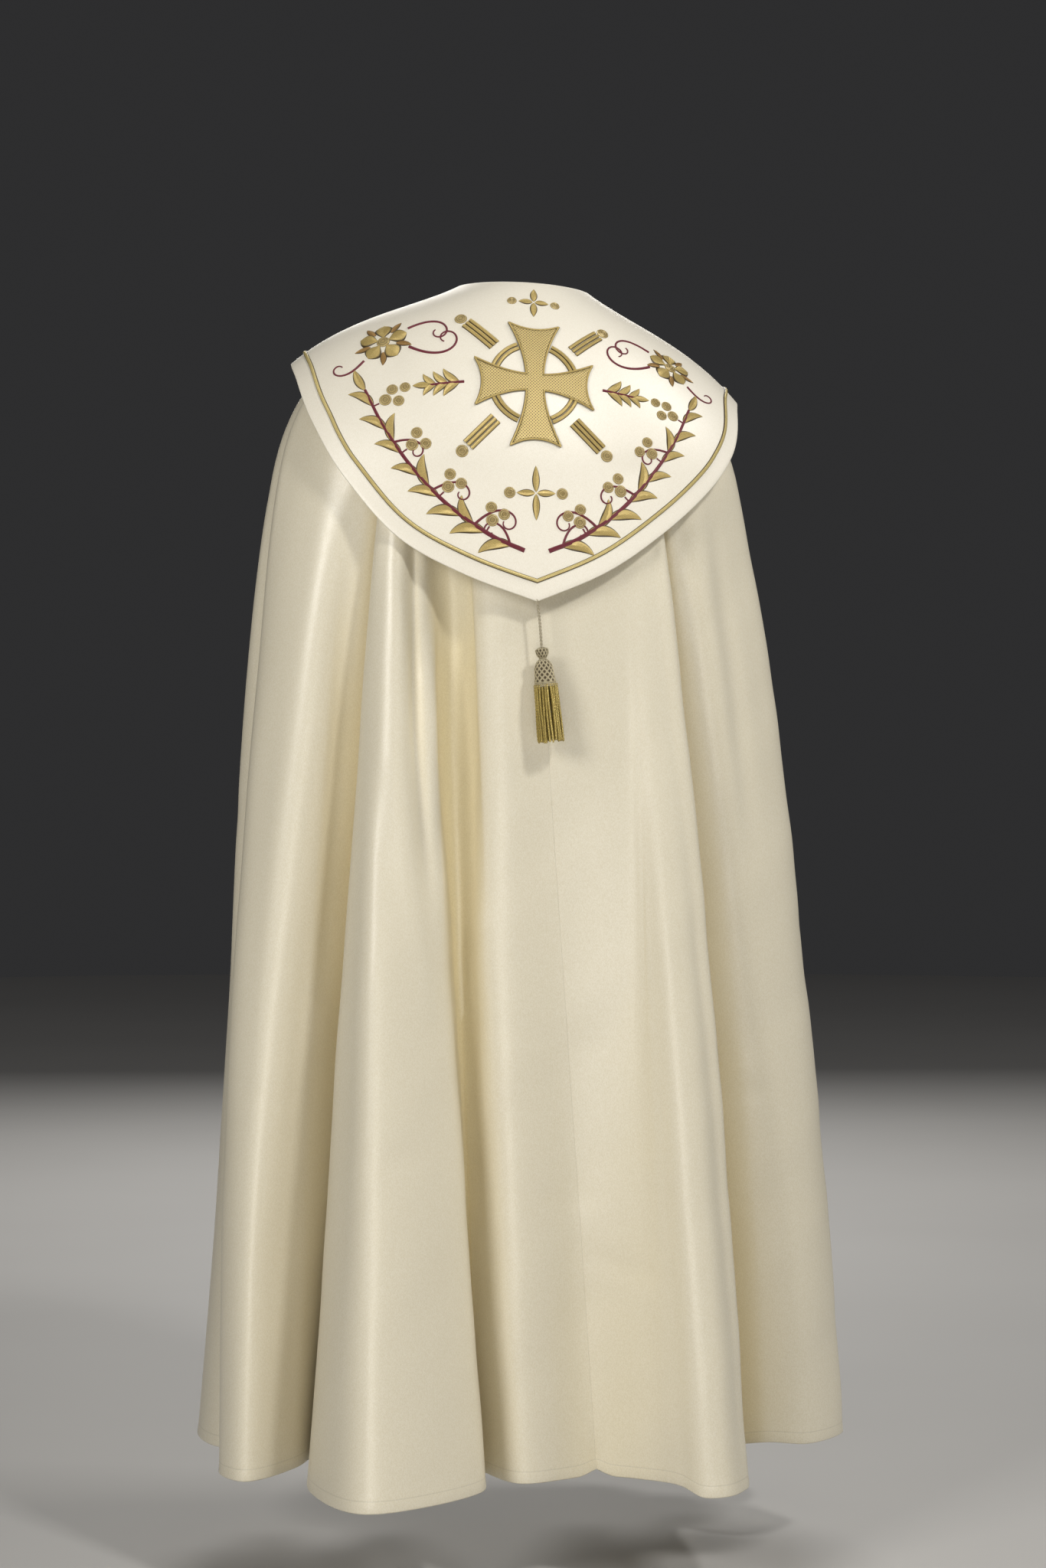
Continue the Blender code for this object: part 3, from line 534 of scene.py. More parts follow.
def mantleCurves(columns):
    # each column's two cubic curves: over the shoulders through the ovals, and from the yoke down to the hem
    turns, dents, bows = columns[:, 0], columns[:, 1:2], columns[:, 2:3]
    neck, slope, shoulder, yoke = (ringPoints(name, turns) for name in rings)
    outward = unit(yoke * (1, 1, 0))
    yoke = yoke - outward * dents
    hem = np.column_stack([columns[:, 4:6], mantle["hemHeight"] - columns[:, 3]])
    lead = yoke + (yoke - shoulder) * mantle["lead"]
    tail = yoke + (hem - yoke) * mantle["tail"] + outward * bows * 2
    return (neck, slope, shoulder, yoke), (yoke, lead, tail, hem)


def mantleSurface(at):
    capCurve, fallCurve = ([p[:, None] for p in curve] for curve in mantleCurves(foldColumns(at)))
    cap = bezier(capCurve, np.linspace(0, 1, mantle["capRows"] + 1)[None, :-1, None])
    return np.concatenate([cap, bezier(fallCurve, np.linspace(0, 1, mantle["fallRows"] + 1)[None, :, None])], axis=1)


def creaseHeights(at, around, down):
    # each crease is a bell across its line, faded in and out along it; each dent is a bell both ways;
    # and three slow waves stand for the cloth's own unevenness
    total = np.zeros(around.shape)
    level = down.mean(0)

    def acrossLine(columns):
        return around - np.array([np.interp(c, at, around[:, k]) for k, c in enumerate(columns)])

    for places, half, height in creases:
        columns, downs = np.array(places).T
        away = acrossLine(np.interp(level, downs, columns)) / half
        fade = np.sin(math.pi * np.clip((level - downs[0]) / (downs[-1] - downs[0]), 0, 1)) ** 0.8
        total += height * np.exp(-away**2) * fade
    for column, deep, halfRound, halfDown, slope, height in dimples:
        away = acrossLine(np.full(len(level), column))
        total += height * np.exp(-(away / halfRound) ** 2 - ((down - deep - slope * away) / halfDown) ** 2)
    for wide, tall, phase, height in unevenness:
        turned = around / wide + 0.12 * np.sin(down / tall * 2 * math.pi + phase)
        total += height * np.sin(2 * math.pi * turned + phase)
    return total * np.clip((down - mantle["plainAbove"]) / mantle["plainFade"], 0, 1)


def foldShadeMask(grid, normals):
    # mean of how far the neighbours on both sides rise over the point's own plane, as a share of their distance; the
    # mask for the painted shade deep in the folds
    columns = np.arange(len(grid))
    legs = (grid[np.clip(columns + step, 0, len(grid) - 1)] - grid for step in foldShadeSteps)
    return sum(np.clip((unit(leg) * normals).sum(-1), 0, 1) for leg in legs) / len(foldShadeSteps)


lastColumn = 4 * len(folds) - 1
allAt = np.linspace(0, lastColumn, 2401)
coarseAt = np.arange(3 * lastColumn + 1) / 3  # the part's own columns
seamAt = coarseAt[np.argmin(np.abs(foldColumns(coarseAt)[:, 0]))]
hemRun = runAlong(foldColumns(allAt)[:, 4:6])
pace = 0.55 * hemRun / hemRun[-1] + 0.45 * allAt / lastColumn  # columns lie closer where the hem runs far
print("hem runs", round(hemRun[-1], 3), "m, seam at column", round(seamAt, 2))


def makeMantle():
    seamPace = np.interp(seamAt, allAt, pace)
    paces = [np.linspace(a, b, mantle["columns"]) for a, b in ((0, seamPace), (seamPace, 1))]
    wholeAt = np.unique(np.append(np.interp(np.concatenate(paces), pace, allAt), seamAt).round(9))
    surface = mantleSurface(wholeAt)
    around, down = runs(surface)
    surface = surface + gridNormals(surface) * creaseHeights(wholeAt, around, down)[..., None]
    fromHem = down[:, -1:] - down
    aside = around - np.array([np.interp(pucker["column"], wholeAt, column) for column in around.T])
    surface[..., 2] += pucker["lift"] * np.exp(-(aside / pucker["half"]) ** 2 - (fromHem / pucker["tall"]) ** 2)
    normals = gridNormals(surface)
    # how deep in a fold each point lies, for the satin's painted shade there
    deep = foldShadeMask(surface, normals)
    fromEdge = np.minimum(fromHem, np.minimum(around, around[-1:] - around))
    roll = np.clip(1 - fromEdge / mantle["hemRoll"], 0, 1)
    wall = mantle["wall"] + (mantle["hemWall"] - mantle["wall"]) * roll
    seam = int(np.argmin(np.abs(wholeAt - seamAt)))
    for side, part, seamColumn in (("left", slice(0, seam + 1), seam), ("right", slice(seam, None), 0)):
        middle = surface[part].copy()
        middle[seamColumn, :, 0] += (-1 if side == "left" else 1) * mantle["seamGap"] / 2
        cloth, _ = makeCloth(f"mantle_{side}_cloth", middle, normals[part], wall[part], mantleSatin,
                             (around[part], down[part]), {"fromEdge": fromEdge[part], "deep": deep[part]},
                             squareColumn=seamColumn)
        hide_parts("mantle_" + side)


makeMantle()


# hood

hood = {"wall": 0.0025, "mantleWall": 0.0020, "gap": 0.0003, "columns": 300, "rows": 96}
hoodEdge = (  # degrees round from the back, the edge's height, how far it stands off the mantle
    (-171, -.150, .003), (-140, -.134, .007), (-112, -.110, .019), (-88, -.101, .030), (-75, -.118, .026),
    (-60, -.161, .022), (-45, -.223, .019), (-30, -.284, .016), (-15, -.321, .0145), (0, -.347, .014),
    (15, -.309, .0145), (30, -.260, .016), (45, -.211, .019), (60, -.164, .022), (75, -.119, .026),
    (88, -.107, .030), (112, -.114, .019), (140, -.134, .007), (171, -.150, .003))
dents = (  # soft dents in the hood: aside, down, half width across and down, depth
    (-0.105, 0.255, 0.030, 0.016, -0.0022), (-0.165, 0.115, 0.022, 0.030, -0.0016),
    (0.120, 0.245, 0.035, 0.018, -0.0014))


def hoodSurface(columnCount, rowCount):
    # the plain form from the neck down to the edge's height, lifted off the mantle as the square of the way down
    rows = np.array(hoodEdge, float)
    rows[:, 0] = np.radians(rows[:, 0])
    tip = len(rows) // 2
    at = np.linspace(0, tip, 8 * tip + 1)
    halves = [throughRows(half, half[:, 0], at) for half in (rows[:tip + 1], rows[tip:])]
    dense = np.concatenate([halves[0], halves[1][1:]])
    turns = np.linspace(rows[0, 0], rows[-1, 0], columnCount + 1)
    heights, stands = readAlong(turns, dense[:, 0], dense[:, 1:]).T
    shares = np.linspace(0.2, 1.8, 161)
    tried = np.array([envelope(turns, np.full(len(turns), share)) for share in shares])
    level = tried[..., 2] + shoulderTilt * tried[..., 0]
    ends = np.array([np.interp(-height, -level[:, k], shares) for k, height in enumerate(heights)])
    down = np.linspace(0, 1, rowCount + 1)
    grid = np.stack([envelope(turns, ends * share) for share in down], axis=1)
    lift = (hood["mantleWall"] + hood["wall"]) / 2 + hood["gap"] + stands[:, None] * down**2
    return grid + gridNormals(grid) * lift[..., None]


class HoodPattern:
    # flat pattern coordinates on the hood: aside, metres from its middle line towards the wearer's right,
    # and down, metres from the neck along the middle line. A point's down is where the plane square to
    # the middle line passes through it, and its aside is its distance from the line there.

    def __init__(self, middle):
        self.normals = gridNormals(middle)
        self.points = middle + self.normals * hood["wall"] / 2
        spine = self.points[len(middle) // 2]
        run = runAlong(spine)
        self.length = run[-1]
        fine = np.linspace(-0.10, self.length + 0.05, 300)
        slope = unit(readAlong(fine, run, unit(np.gradient(spine, run, axis=0))))
        line = readAlong(fine, run, spine) + slope * (np.minimum(fine, 0) + np.maximum(fine - run[-1], 0))[:, None]
        offset = np.einsum("ijk,nk->ijn", self.points, slope) - (line * slope).sum(1)
        low = np.clip((offset > 0).sum(-1) - 1, 0, len(fine) - 2)
        a, b = (np.take_along_axis(offset, (low + k)[..., None], -1)[..., 0] for k in (0, 1))
        down = fine[low] + (fine[1] - fine[0]) * np.clip(a / (a - b), 0, 1)
        here = readAlong(down, fine, line)
        aside = np.linalg.norm(self.points - here, axis=-1) * np.sign(self.points[..., 0] - here[..., 0])
        self.flat = np.stack([aside, down], -1)

    def read(self, table, at):
        # bilinear value of a grid at fractional columns and rows
        at = np.clip(at, 0, np.array(table.shape[:2]) - 1.001)
        a, b = at.astype(int).T
        s, t = (at % 1).T[..., None]
        return (table[a, b] * (1 - s) * (1 - t) + table[a + 1, b] * s * (1 - t)
                + table[a, b + 1] * (1 - s) * t + table[a + 1, b + 1] * s * t)

    def lay(self, flat, lift, stride=6, batch=2000):
        # points over the hood at these pattern places, by Newton's steps from the nearest of every sixth grid point
        want = np.asarray(flat, float).reshape(-1, 2)
        sparse = self.flat[::stride, ::stride]
        near = [((want[k:k + batch, None] - sparse.reshape(-1, 2)) ** 2).sum(-1).argmin(1)
                for k in range(0, len(want), batch)]
        at = stride * np.stack(np.unravel_index(np.concatenate(near), sparse.shape[:2]), -1).astype(float)
        dColumn, dRow = np.gradient(self.flat, axis=0), np.gradient(self.flat, axis=1)
        for _ in range(8):
            miss = want - self.read(self.flat, at)
            c, r = self.read(dColumn, at), self.read(dRow, at)
            det = c[:, 0] * r[:, 1] - c[:, 1] * r[:, 0]
            step = np.stack([miss[:, 0] * r[:, 1] - miss[:, 1] * r[:, 0], c[:, 0] * miss[:, 1] - c[:, 1] * miss[:, 0]], -1)
            at = at + np.clip(step / det[:, None], -12, 12)
        lift = np.broadcast_to(lift, flat.shape[:-1]).reshape(-1, 1)
        found = self.read(self.points, at) + unit(self.read(self.normals, at)) * lift
        return found.reshape(*flat.shape[:-1], 3)


hoodMiddle = hoodSurface(hood["columns"], hood["rows"])
hoodTip = hoodMiddle[hood["columns"] // 2, -1].copy()


def makeHood():
    aside, down = np.moveaxis(HoodPattern(hoodMiddle).flat, -1, 0)
    press = sum(depth * np.exp(-((aside - a) / wide) ** 2 - ((down - d) / tall) ** 2) for a, d, wide, tall, depth in dents)
    middle = hoodMiddle + gridNormals(hoodMiddle) * press[..., None]
    piece, area = makeCloth("hood_cloth", middle, gridNormals(middle), hood["wall"], hoodSatin, runs(middle), {}, steps=6)
    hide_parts("hood")
    return HoodPattern(middle)


pattern = makeHood()


# bands, leaves and discs worked on the hood, each as points, faces, uv and the way to its edge

under = {"wide": 0.6, "down": 0.0002}  # how wide the unseen side is, and how far below the seen one


def evenly(curve, spacing):
    run = runAlong(curve)
    return readAlong(np.linspace(0, run[-1], max(int(run[-1] / spacing), 4) + 1), run, curve)


def smoothPath(corners, spacing):
    # a curve through the corners, each step a cubic whose ends follow the neighbouring corners, evenly spaced
    p = np.array(corners, float)
    p = np.concatenate([2 * p[:1] - p[1:2], p, 2 * p[-1:] - p[-2:-1]])
    t = np.linspace(0, 1, 24, endpoint=False)[:, None]
    steps = [0.5 * (2 * b + (c - a) * t + (2 * a - 5 * b + 4 * c - d) * t**2 + (3 * b - a - 3 * c + d) * t**3)
             for a, b, c, d in zip(p[:-3], p[1:-2], p[2:-1], p[3:])]
    return evenly(np.concatenate([*steps, p[-2:-1]]), spacing)


def bandParts(path, half, height, lift=0.0001, across=7, groove=0.0, closed=False):
    # a closed band: across it the height is the root of one less the way to its side to the power 2.4
    run = unit(np.roll(path, -1, 0) - np.roll(path, 1, 0) if closed else np.gradient(path, axis=0))
    side = np.stack([-run[:, 1], run[:, 0]], -1)
    half, height = (np.broadcast_to(value, (len(path),))[:, None] for value in (half, height))
    s = 0.5 * np.sin(np.linspace(-0.5, 0.5, across) * math.pi) + 0.5 * np.linspace(-1, 1, across)
    dome = np.sqrt(np.clip(1 - np.abs(s) ** 2.4, 0, 1)) - groove * np.exp(-(s / 0.16) ** 2)
    sideways = half * np.append(s, [under["wide"], -under["wide"]])
    flat = path[:, None] + side[:, None] * sideways[..., None]
    lifts = np.concatenate([lift + height * dome, np.full((len(path), 2), lift - under["down"])], 1)
    along = np.broadcast_to(runAlong(path)[:, None], sideways.shape)
    uv = np.stack([along, np.abs(sideways) if groove else sideways], -1).reshape(-1, 2)
    edge = np.tile(np.append(np.abs(s), [1, 1]), len(path))
    return pattern.lay(flat, lifts).reshape(-1, 3), loopFaces(*sideways.shape, closed), uv, edge


def leafParts(root, angle, length, width, side=1, bend=0.25, height=0.0013, groove=0.5, full=0.85, spacing=0.0016):
    # a leaf: its half width follows the sine of the way along to the power 0.8, fullest before the middle
    t = np.linspace(0, 1, max(int(length / spacing), 8))
    line = np.stack([t * length, bend * length * (t - t**2) * 2], -1)
    turn = np.array([[math.cos(angle), math.sin(angle)], [-math.sin(angle), math.cos(angle)]])
    half = width / 2 * np.sin(math.pi * t**full) ** 0.8 + 0.0001
    rise = height * np.sin(math.pi * np.clip(t, 0.03, 0.97)) ** 0.5
    return bandParts((line @ turn + root) * (side, 1), half, rise, across=9, groove=groove)


def tendril(root, heading, length, bend, curl, spacing=0.0014):
    # its heading turns evenly by bend on the way along, and by curl with the cube of the way
    way = np.arange(0, length, spacing) / length
    turn = heading + bend * way + curl * way**3
    return root + np.cumsum(spacing * np.stack([np.cos(turn), np.sin(turn)], -1), axis=0)


def discParts(centre, radius, height=0.0019, rows=12, sides=24, coils=3):
    # a coiled berry: a dome whose height has one ripple for each turn of the coil
    r = np.linspace(0, 1, rows + 1)[1:]
    coil = 0.5 - 0.5 * np.cos(r * math.pi * 2 * coils)
    dome = 0.0001 + np.sqrt(np.clip(1 - r**3, 0, 1)) * height * (0.55 + 0.45 * coil)
    angle = np.linspace(0, 2 * math.pi, sides, endpoint=False)
    ring = np.stack([np.cos(angle), np.sin(angle)], -1)
    flat = centre + radius * np.append(r, 0.8)[:, None, None] * ring
    lifts = np.append(np.repeat(np.append(dome, -under["down"]), sides), dome[0])
    points = pattern.lay(np.concatenate([flat.reshape(-1, 2), [centre]]), lifts)
    quads, first, last = loopFaces(rows + 1, sides)
    fan = np.stack([first[0], np.roll(first[0], -1), np.full(sides, len(points) - 1)], -1)
    out = np.append(np.repeat(np.append(r, 1), sides), 0)
    uv = radius * np.stack([0.5 * np.append(np.tile(angle, rows + 1), 0), out], -1)
    edge = np.append(np.repeat(np.append(np.where(r > 0.96, 1.0, 0.97 - 0.97 * coil), 1), sides), 1)
    return points, [quads, fan, last], uv, edge


def facingOut(points, faces):
    # turns all the faces round if the piece's volume comes out negative
    volume = sum(np.einsum("ij,ij->", points[f[:, 0]], np.cross(points[f[:, k]], points[f[:, k + 1]]))
                 for f in faces for k in range(1, f.shape[1] - 1))
    return faces if volume > 0 else [f[:, ::-1] for f in faces]


def makeWork(name, parts, material, node=None, sharpAngle=75, merge=None):
    # several bands, leaves or discs as one piece
    starts = np.cumsum([0] + [len(points) for points, *_ in parts])
    faces = [f + start for (points, sides, *_), start in zip(parts, starts) for f in facingOut(points, sides)]
    points, uv, edge = (np.concatenate([part[k] for part in parts]) for k in (0, 2, 3))
    piece = makePiece(name, points, faces, material, uv, {"edge": edge}, sharpAngle, merge)
    if node:
        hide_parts(node)
    print(name, "faces", sum(len(f) for f in faces))
    return piece


# braid couched round the hood, a border inside its edge

braid = {"border": 0.0205, "half": 0.0025, "height": 0.0021, "lift": 0.0003, "spacing": 0.0013, "across": 11}


def makeBraid():
    # the path lies a set distance up each column from the edge, measured square to the edge
    grid = hoodSurface(112, 80)
    normals = gridNormals(grid)
    outer = grid + normals * hood["wall"] / 2
    tip = len(outer) // 2
    run = np.gradient(outer[:, -1], axis=0)
    run[tip] = outer[tip + 1, -1] - outer[tip, -1]
    down = outer[:, -1] - outer[:, -2]
    slant = np.linalg.norm(np.cross(run, down), axis=1) / np.linalg.norm(run, axis=1) / np.linalg.norm(down, axis=1)
    both = np.concatenate([outer, normals], -1)[:, ::-1]
    both = np.array([readAlong(braid["border"] / share, runAlong(column[:, :3]), column) for share, column in zip(slant, both)])
    both[:, 3:] = unit(both[:, 3:])
    halves = []
    for side in (both[:tip + 1], both[tip:]):
        curve = throughRows(side, np.arange(len(side), dtype=float), np.linspace(0, len(side) - 1, 900))
        run = runAlong(curve[:, :3])
        halves.append(readAlong(np.linspace(0, run[-1], int(run[-1] / braid["spacing"]) + 1), run, curve))
    path = np.concatenate([halves[0], halves[1][1:]])
    corner = len(halves[0]) - 1
    place, face = path[:, :3], unit(path[:, 3:])
    side = unit(np.cross(face, unit(np.gradient(place, axis=0))))
    reach = np.ones((len(path), 1))  # wider at the hood's point, where two straight runs meet
    mitre = abs(side[corner] @ unit(np.cross(face[corner], unit(place[corner + 1] - place[corner]))))
    reach[corner] = 1 / max(float(mitre), 0.5)
    s = np.sin(np.linspace(-0.5, 0.5, braid["across"]) * math.pi)
    aside = braid["half"] * np.append(s, [under["wide"], -under["wide"]])
    ups = np.append(braid["lift"] + braid["height"] * np.sqrt(np.clip(1 - s**2, 0, 1)), [0.0001, 0.0001])
    points = place[:, None] + side[:, None] * (reach * aside)[..., None] + face[:, None] * ups[:, None]
    shape = points.shape[:2]
    along = np.broadcast_to(runAlong(place)[:, None], shape)
    uv = np.stack([along, np.broadcast_to(aside, shape)], -1).reshape(-1, 2)
    edge = np.tile(np.append(np.abs(s), [1, 1]), len(path))
    print("braid runs", round(along[-1, 0], 3), "m")
    makeWork("hood_braid_cord", [(points.reshape(-1, 3), loopFaces(*shape), uv, edge)], goldEdging, "hood_braid")


makeBraid()


# cross in the middle of the hood

cross = {"down": 0.146, "halfWidth": 0.068, "halfHeight": 0.076, "narrow": 0.0100, "wide": 0.0290, "notch": 0.008,
         "height": 0.0020, "lift": 0.0004, "round": 0.0022, "edge": 0.004, "cuts": 26, "middleCuts": 7, "across": 17,
         "rimHalf": 0.0013, "rimHeight": 0.0011, "rimLift": 0.0016, "rimSpacing": 0.0014}
centre = np.array([0, cross["down"]])


def armRows(reach):
    # an arm's half width grows as the way out to the power 1.7, and its end is notched towards the middle
    share = np.linspace(0, 1, cross["cuts"])[:, None]
    s = np.linspace(1, -1, cross["across"])[None]
    wide = cross["narrow"] + (cross["wide"] - cross["narrow"]) * share**1.7
    out = cross["narrow"] + (reach - cross["narrow"]) * share
    return np.stack([wide * s, out - cross["notch"] * share**6 * (1 - s**2)], -1)


def makeCross():
    # four arms and the wedges that join them in the middle; the work rises from its outline as a quarter circle
    flats, faces, outline, total, root = [np.zeros((1, 2))], [], [], 1, cross["middleCuts"]
    for quarter, (c, s) in enumerate(((1, 0), (0, 1), (-1, 0), (0, -1))):
        rows = armRows(cross["halfHeight"] if quarter % 2 == 0 else cross["halfWidth"])
        wedge = rows[:1] * np.linspace(0, 1, root + 2)[1:-1, None, None]
        rows = np.concatenate([wedge, rows]) @ np.array([[c, s], [-s, c]])
        outline.append(np.concatenate([rows[root:-1, 0], rows[-1], rows[-2:root - 1:-1, -1]]))
        index = total + np.arange(len(rows) * cross["across"]).reshape(len(rows), -1)
        faces += [gridQuads(index), np.stack([0 * index[0, 1:], index[0, :-1], index[0, 1:]], -1)]
        flats.append(rows.reshape(-1, 2))
        total += index.size
    outline = np.concatenate(outline)
    flat = np.concatenate(flats)
    leg = np.roll(outline, -1, 0) - outline
    t = np.clip(((flat[:, None] - outline) * leg).sum(-1) / np.maximum((leg * leg).sum(-1), 1e-12), 0, 1)
    away = np.linalg.norm(flat[:, None] - outline - leg * t[..., None], axis=-1).min(1)
    rise = np.sqrt(np.clip(1 - (1 - np.clip(away / cross["round"], 0, 1)) ** 2, 0, 1))
    place = flat * (1, -1) + centre
    top = pattern.lay(place, cross["lift"] + cross["height"] * rise)
    bottom = pattern.lay(place, cross["lift"] - 0.0003 * np.clip(away / 0.001, 0, 1))
    faces = faces + [f[:, ::-1] + len(flat) for f in faces]
    edge = np.tile(1 - np.clip(away / cross["edge"], 0, 1), 2)
    couching = (np.concatenate([top, bottom]), faces, np.tile(flat, (2, 1)), edge)
    makeWork("cross_couching", [couching], goldCouching, node="hood_cross", sharpAngle=180, merge=0.00005)
    rim = evenly(np.concatenate([outline, outline[:1]]) * (1, -1) + centre, cross["rimSpacing"])[:-1]
    edging = bandParts(rim, cross["rimHalf"], cross["rimHeight"], cross["rimLift"], closed=True)
    makeWork("cross_edging", [edging], goldThread, node="hood_cross")


makeCross()


# ring, rays, branches and roses worked round the cross

work = {"cordHalf": 0.0025, "cordPitch": 0.0053, "cordHeight": 0.0021, "ring": 0.0485, "ringSweep": 22,
        "rayStart": 0.0640, "rayEnd": 0.1080, "rayBerry": 0.0095, "cuts": 34, "berry": 0.0072,
        "stemHalf": 0.0025, "stemHeight": 0.0012, "leafLength": 0.040, "leafWidth": 0.0136,
        "rose": 0.031, "heart": (0.172, 0.084), "heartBerry": 0.0078}
branch = ((0.014, 0.342), (0.052, 0.325), (0.100, 0.290), (0.142, 0.243), (0.172, 0.195), (0.192, 0.150))
clusters = ((0.0155, 0.001), (0.0275, 0.0095), (0.0285, -0.0068))  # each berry's way out from the stem, and along it
curls = (  # burgundy tendrils: root, heading, length, even turn, last curl, half width at the root
    (0.071, 0.314, -2.35, 0.085, -0.9, -5.2, 0.0016), (0.118, 0.274, -2.6, 0.075, -0.7, -5.4, 0.0015),
    (0.160, 0.217, -2.9, 0.060, -0.7, -5.0, 0.0014), (0.030, 0.336, -1.35, 0.060, 0.9, 4.6, 0.0015),
    (0.143, 0.096, 2.5, 0.105, 1.3, 5.4, 0.0019), (0.145, 0.069, -2.7, 0.085, -1.0, -5.2, 0.0018),
    (0.193, 0.108, 0.9, 0.062, -0.6, -4.6, 0.0016))
stems, leaves, petals, sepals, berries = [], [], [], [], []


def direction(angle):
    return np.array([math.cos(angle), math.sin(angle)])


def sideBySide(path, count):
    # cords laid side by side, along lines a pitch apart
    run = unit(np.gradient(path, axis=0))
    side = np.stack([-run[:, 1], run[:, 0]], -1)
    return [bandParts(path + side * work["cordPitch"] * (k - (count - 1) / 2), work["cordHalf"], work["cordHeight"])
            for k in range(count)]


def makeRingAndRays():
    # arcs of a ring between the cross's arms, and sheaves of cord on the diagonals outside it
    parts = []
    for quarter in range(4):
        start = math.pi / 2 * quarter + math.pi / 4
        turn = start + np.radians(np.linspace(-work["ringSweep"], work["ringSweep"], work["cuts"]))
        parts += sideBySide(centre + work["ring"] * np.stack([np.cos(turn), np.sin(turn)], -1), 2)
        ray = np.linspace(work["rayStart"], work["rayEnd"], work["cuts"])[:, None]
        parts += sideBySide(centre + direction(start) * ray, 3)
        berries.append(discParts(centre + direction(start) * (work["rayEnd"] + work["rayBerry"]), work["berry"]))
    makeWork("ring_and_ray_cords", parts, goldThread)


def layBranch(side):
    # a stem from the foot of the hood up to the shoulder, with leaves in turn on both its sides; at every
    # fourth leaf three berries on its inner side take a leaf's place
    path = smoothPath(branch, 0.0015)
    share = np.linspace(0, 1, len(path))
    stems.append(bandParts(path * (side, 1), work["stemHalf"] * (1.1 - 0.45 * share), work["stemHeight"]))
    run = unit(np.gradient(path, axis=0))
    heading = np.arctan2(run[:, 1], run[:, 0])
    for step, k in enumerate(range(10, len(path) - 6, 11)):
        hand = 1 if step % 2 == 0 else -1
        size = 1.0 - 0.22 * share[k] + 0.06 * math.sin(3.7 * step)
        if step % 4 != 1:
            leaves.append(leafParts(path[k], heading[k] + hand * 0.60, work["leafLength"] * size,
                                    work["leafWidth"] * size, side, bend=-0.30 * hand))
        if step % 4 == 2:
            out = np.array([run[k, 1], -run[k, 0]])
            for (far, along), berry in zip(clusters, (1.0, 0.92, 0.92)):
                spot = path[k] + out * far + run[k] * along
                berries.append(discParts(spot * (side, 1), work["berry"] * berry))
            root = path[k] + out * 0.0012
            stems.append(bandParts(np.linspace(root, root + out * 0.0065, 6) * (side, 1), 0.0010, 0.0008, across=5))
    leaves.append(leafParts(path[-1], heading[-1], work["leafLength"] * 0.8, work["leafWidth"] * 0.8, side, bend=0.1))


def layRose(side):
    # five petals round a coiled middle, with leaves between them, and the tendrils of this side
    heart, rose = np.array(work["heart"]), work["rose"]
    for k in range(5):
        angle = 2 * math.pi * k / 5 - math.pi / 2
        petals.append(leafParts(heart + direction(angle) * 0.0062, angle, rose * 0.72, rose * 0.70, side, bend=0,
                                height=0.0018, groove=0.22, full=1.35))
        angle += math.pi / 5
        sepals.append(leafParts(heart + direction(angle) * rose * 0.50, angle, rose * 0.62, rose * 0.25, side,
                                bend=0.08, height=0.0011))
    berries.append(discParts(heart * (side, 1), work["heartBerry"], 0.0024))
    for x, y, heading, length, bend, curl, root in curls:
        path = tendril(np.array([x, y]), heading, length, bend, curl)
        stems.append(bandParts(path * (side, 1), np.linspace(root, 0.0008, len(path)), 0.0010))


def layLozenge(down, tall, wide, berry):
    # four short leaves on the middle line, with a berry on each side
    spot = np.array([0, down])
    for angle, length in ((-math.pi / 2, tall), (math.pi / 2, tall), (0, wide), (math.pi, wide)):
        leaves.append(leafParts(spot + 0.0012 * direction(angle), angle, length, 0.0085, bend=0))
    for k in (-1, 1):
        berries.append(discParts(spot + ((wide + 0.009) * k, 0), berry))


def laySprig(side):
    # level with the cross's arms, a short stem with three pairs of leaves, one at its end, and a berry beyond it
    line = np.linspace((0.080, 0.147), (0.118, 0.150), 24)
    stems.append(bandParts(line * (side, 1), 0.0017, work["stemHeight"], across=5))
    for k, size in ((3, 1.0), (11, 0.9), (19, 0.8)):
        for hand in (-1, 1):
            leaves.append(leafParts(line[k], hand * 0.75, 0.025 * size, 0.0098 * size, side, bend=-0.25 * hand))
    leaves.append(leafParts(line[-1], 0, 0.020, 0.0085, side, bend=0))
    berries.append(discParts((line[-1] + (0.0285, 0.001)) * (side, 1), 0.0062))


makeRingAndRays()
for layBothSides in (layBranch, layRose, laySprig):
    layBothSides(-1)
    layBothSides(1)
layLozenge(0.036, 0.021, 0.016, 0.0056)
layLozenge(0.276, 0.030, 0.021, 0.0066)
for name, parts, thread in (
        ("branch_stems", stems, burgundySilk), ("branch_leaves", leaves, goldThread), ("rose_petals", petals, goldThread),
        ("rose_leaves", sepals, copperThread), ("coiled_berries", berries, goldCoil)):
    makeWork(name, parts, thread)


# cord and tassel at the hood's tip

tassel = {"cordLength": 0.052, "cordRadius": 0.0014, "cordTurns": 7, "plyAway": 0.00078, "plyRadius": 0.00088,
          "aside": 0.005, "lean": math.radians(6.0),
          "profile": ((0, .0024), (.0016, .0060), (.0055, .0072), (.0098, .0058), (.0128, .0042), (.0158, .0070),
                      (.0205, .0096), (.0290, .0108), (.0380, .0118), (.0440, .0132)),
          "rows": 110, "sides": 132, "meshes": 11, "climb": 0.0068, "netHeight": 0.0007, "neck": 0.0128, "bandTop": 0.0385,
          "skirtTop": 0.0415, "strandLength": 0.0655, "strandRadius": 0.00132, "strandTwist": 0.0042,
          "strandRings": ((0.0118, 24, 0), (0.0086, 16, -0.001), (0.0050, 9, -0.002))}
cordTop = hoodTip + (0, 0, 0.002)
tasselTop = hoodTip + (tassel["aside"], 0, -tassel["cordLength"])


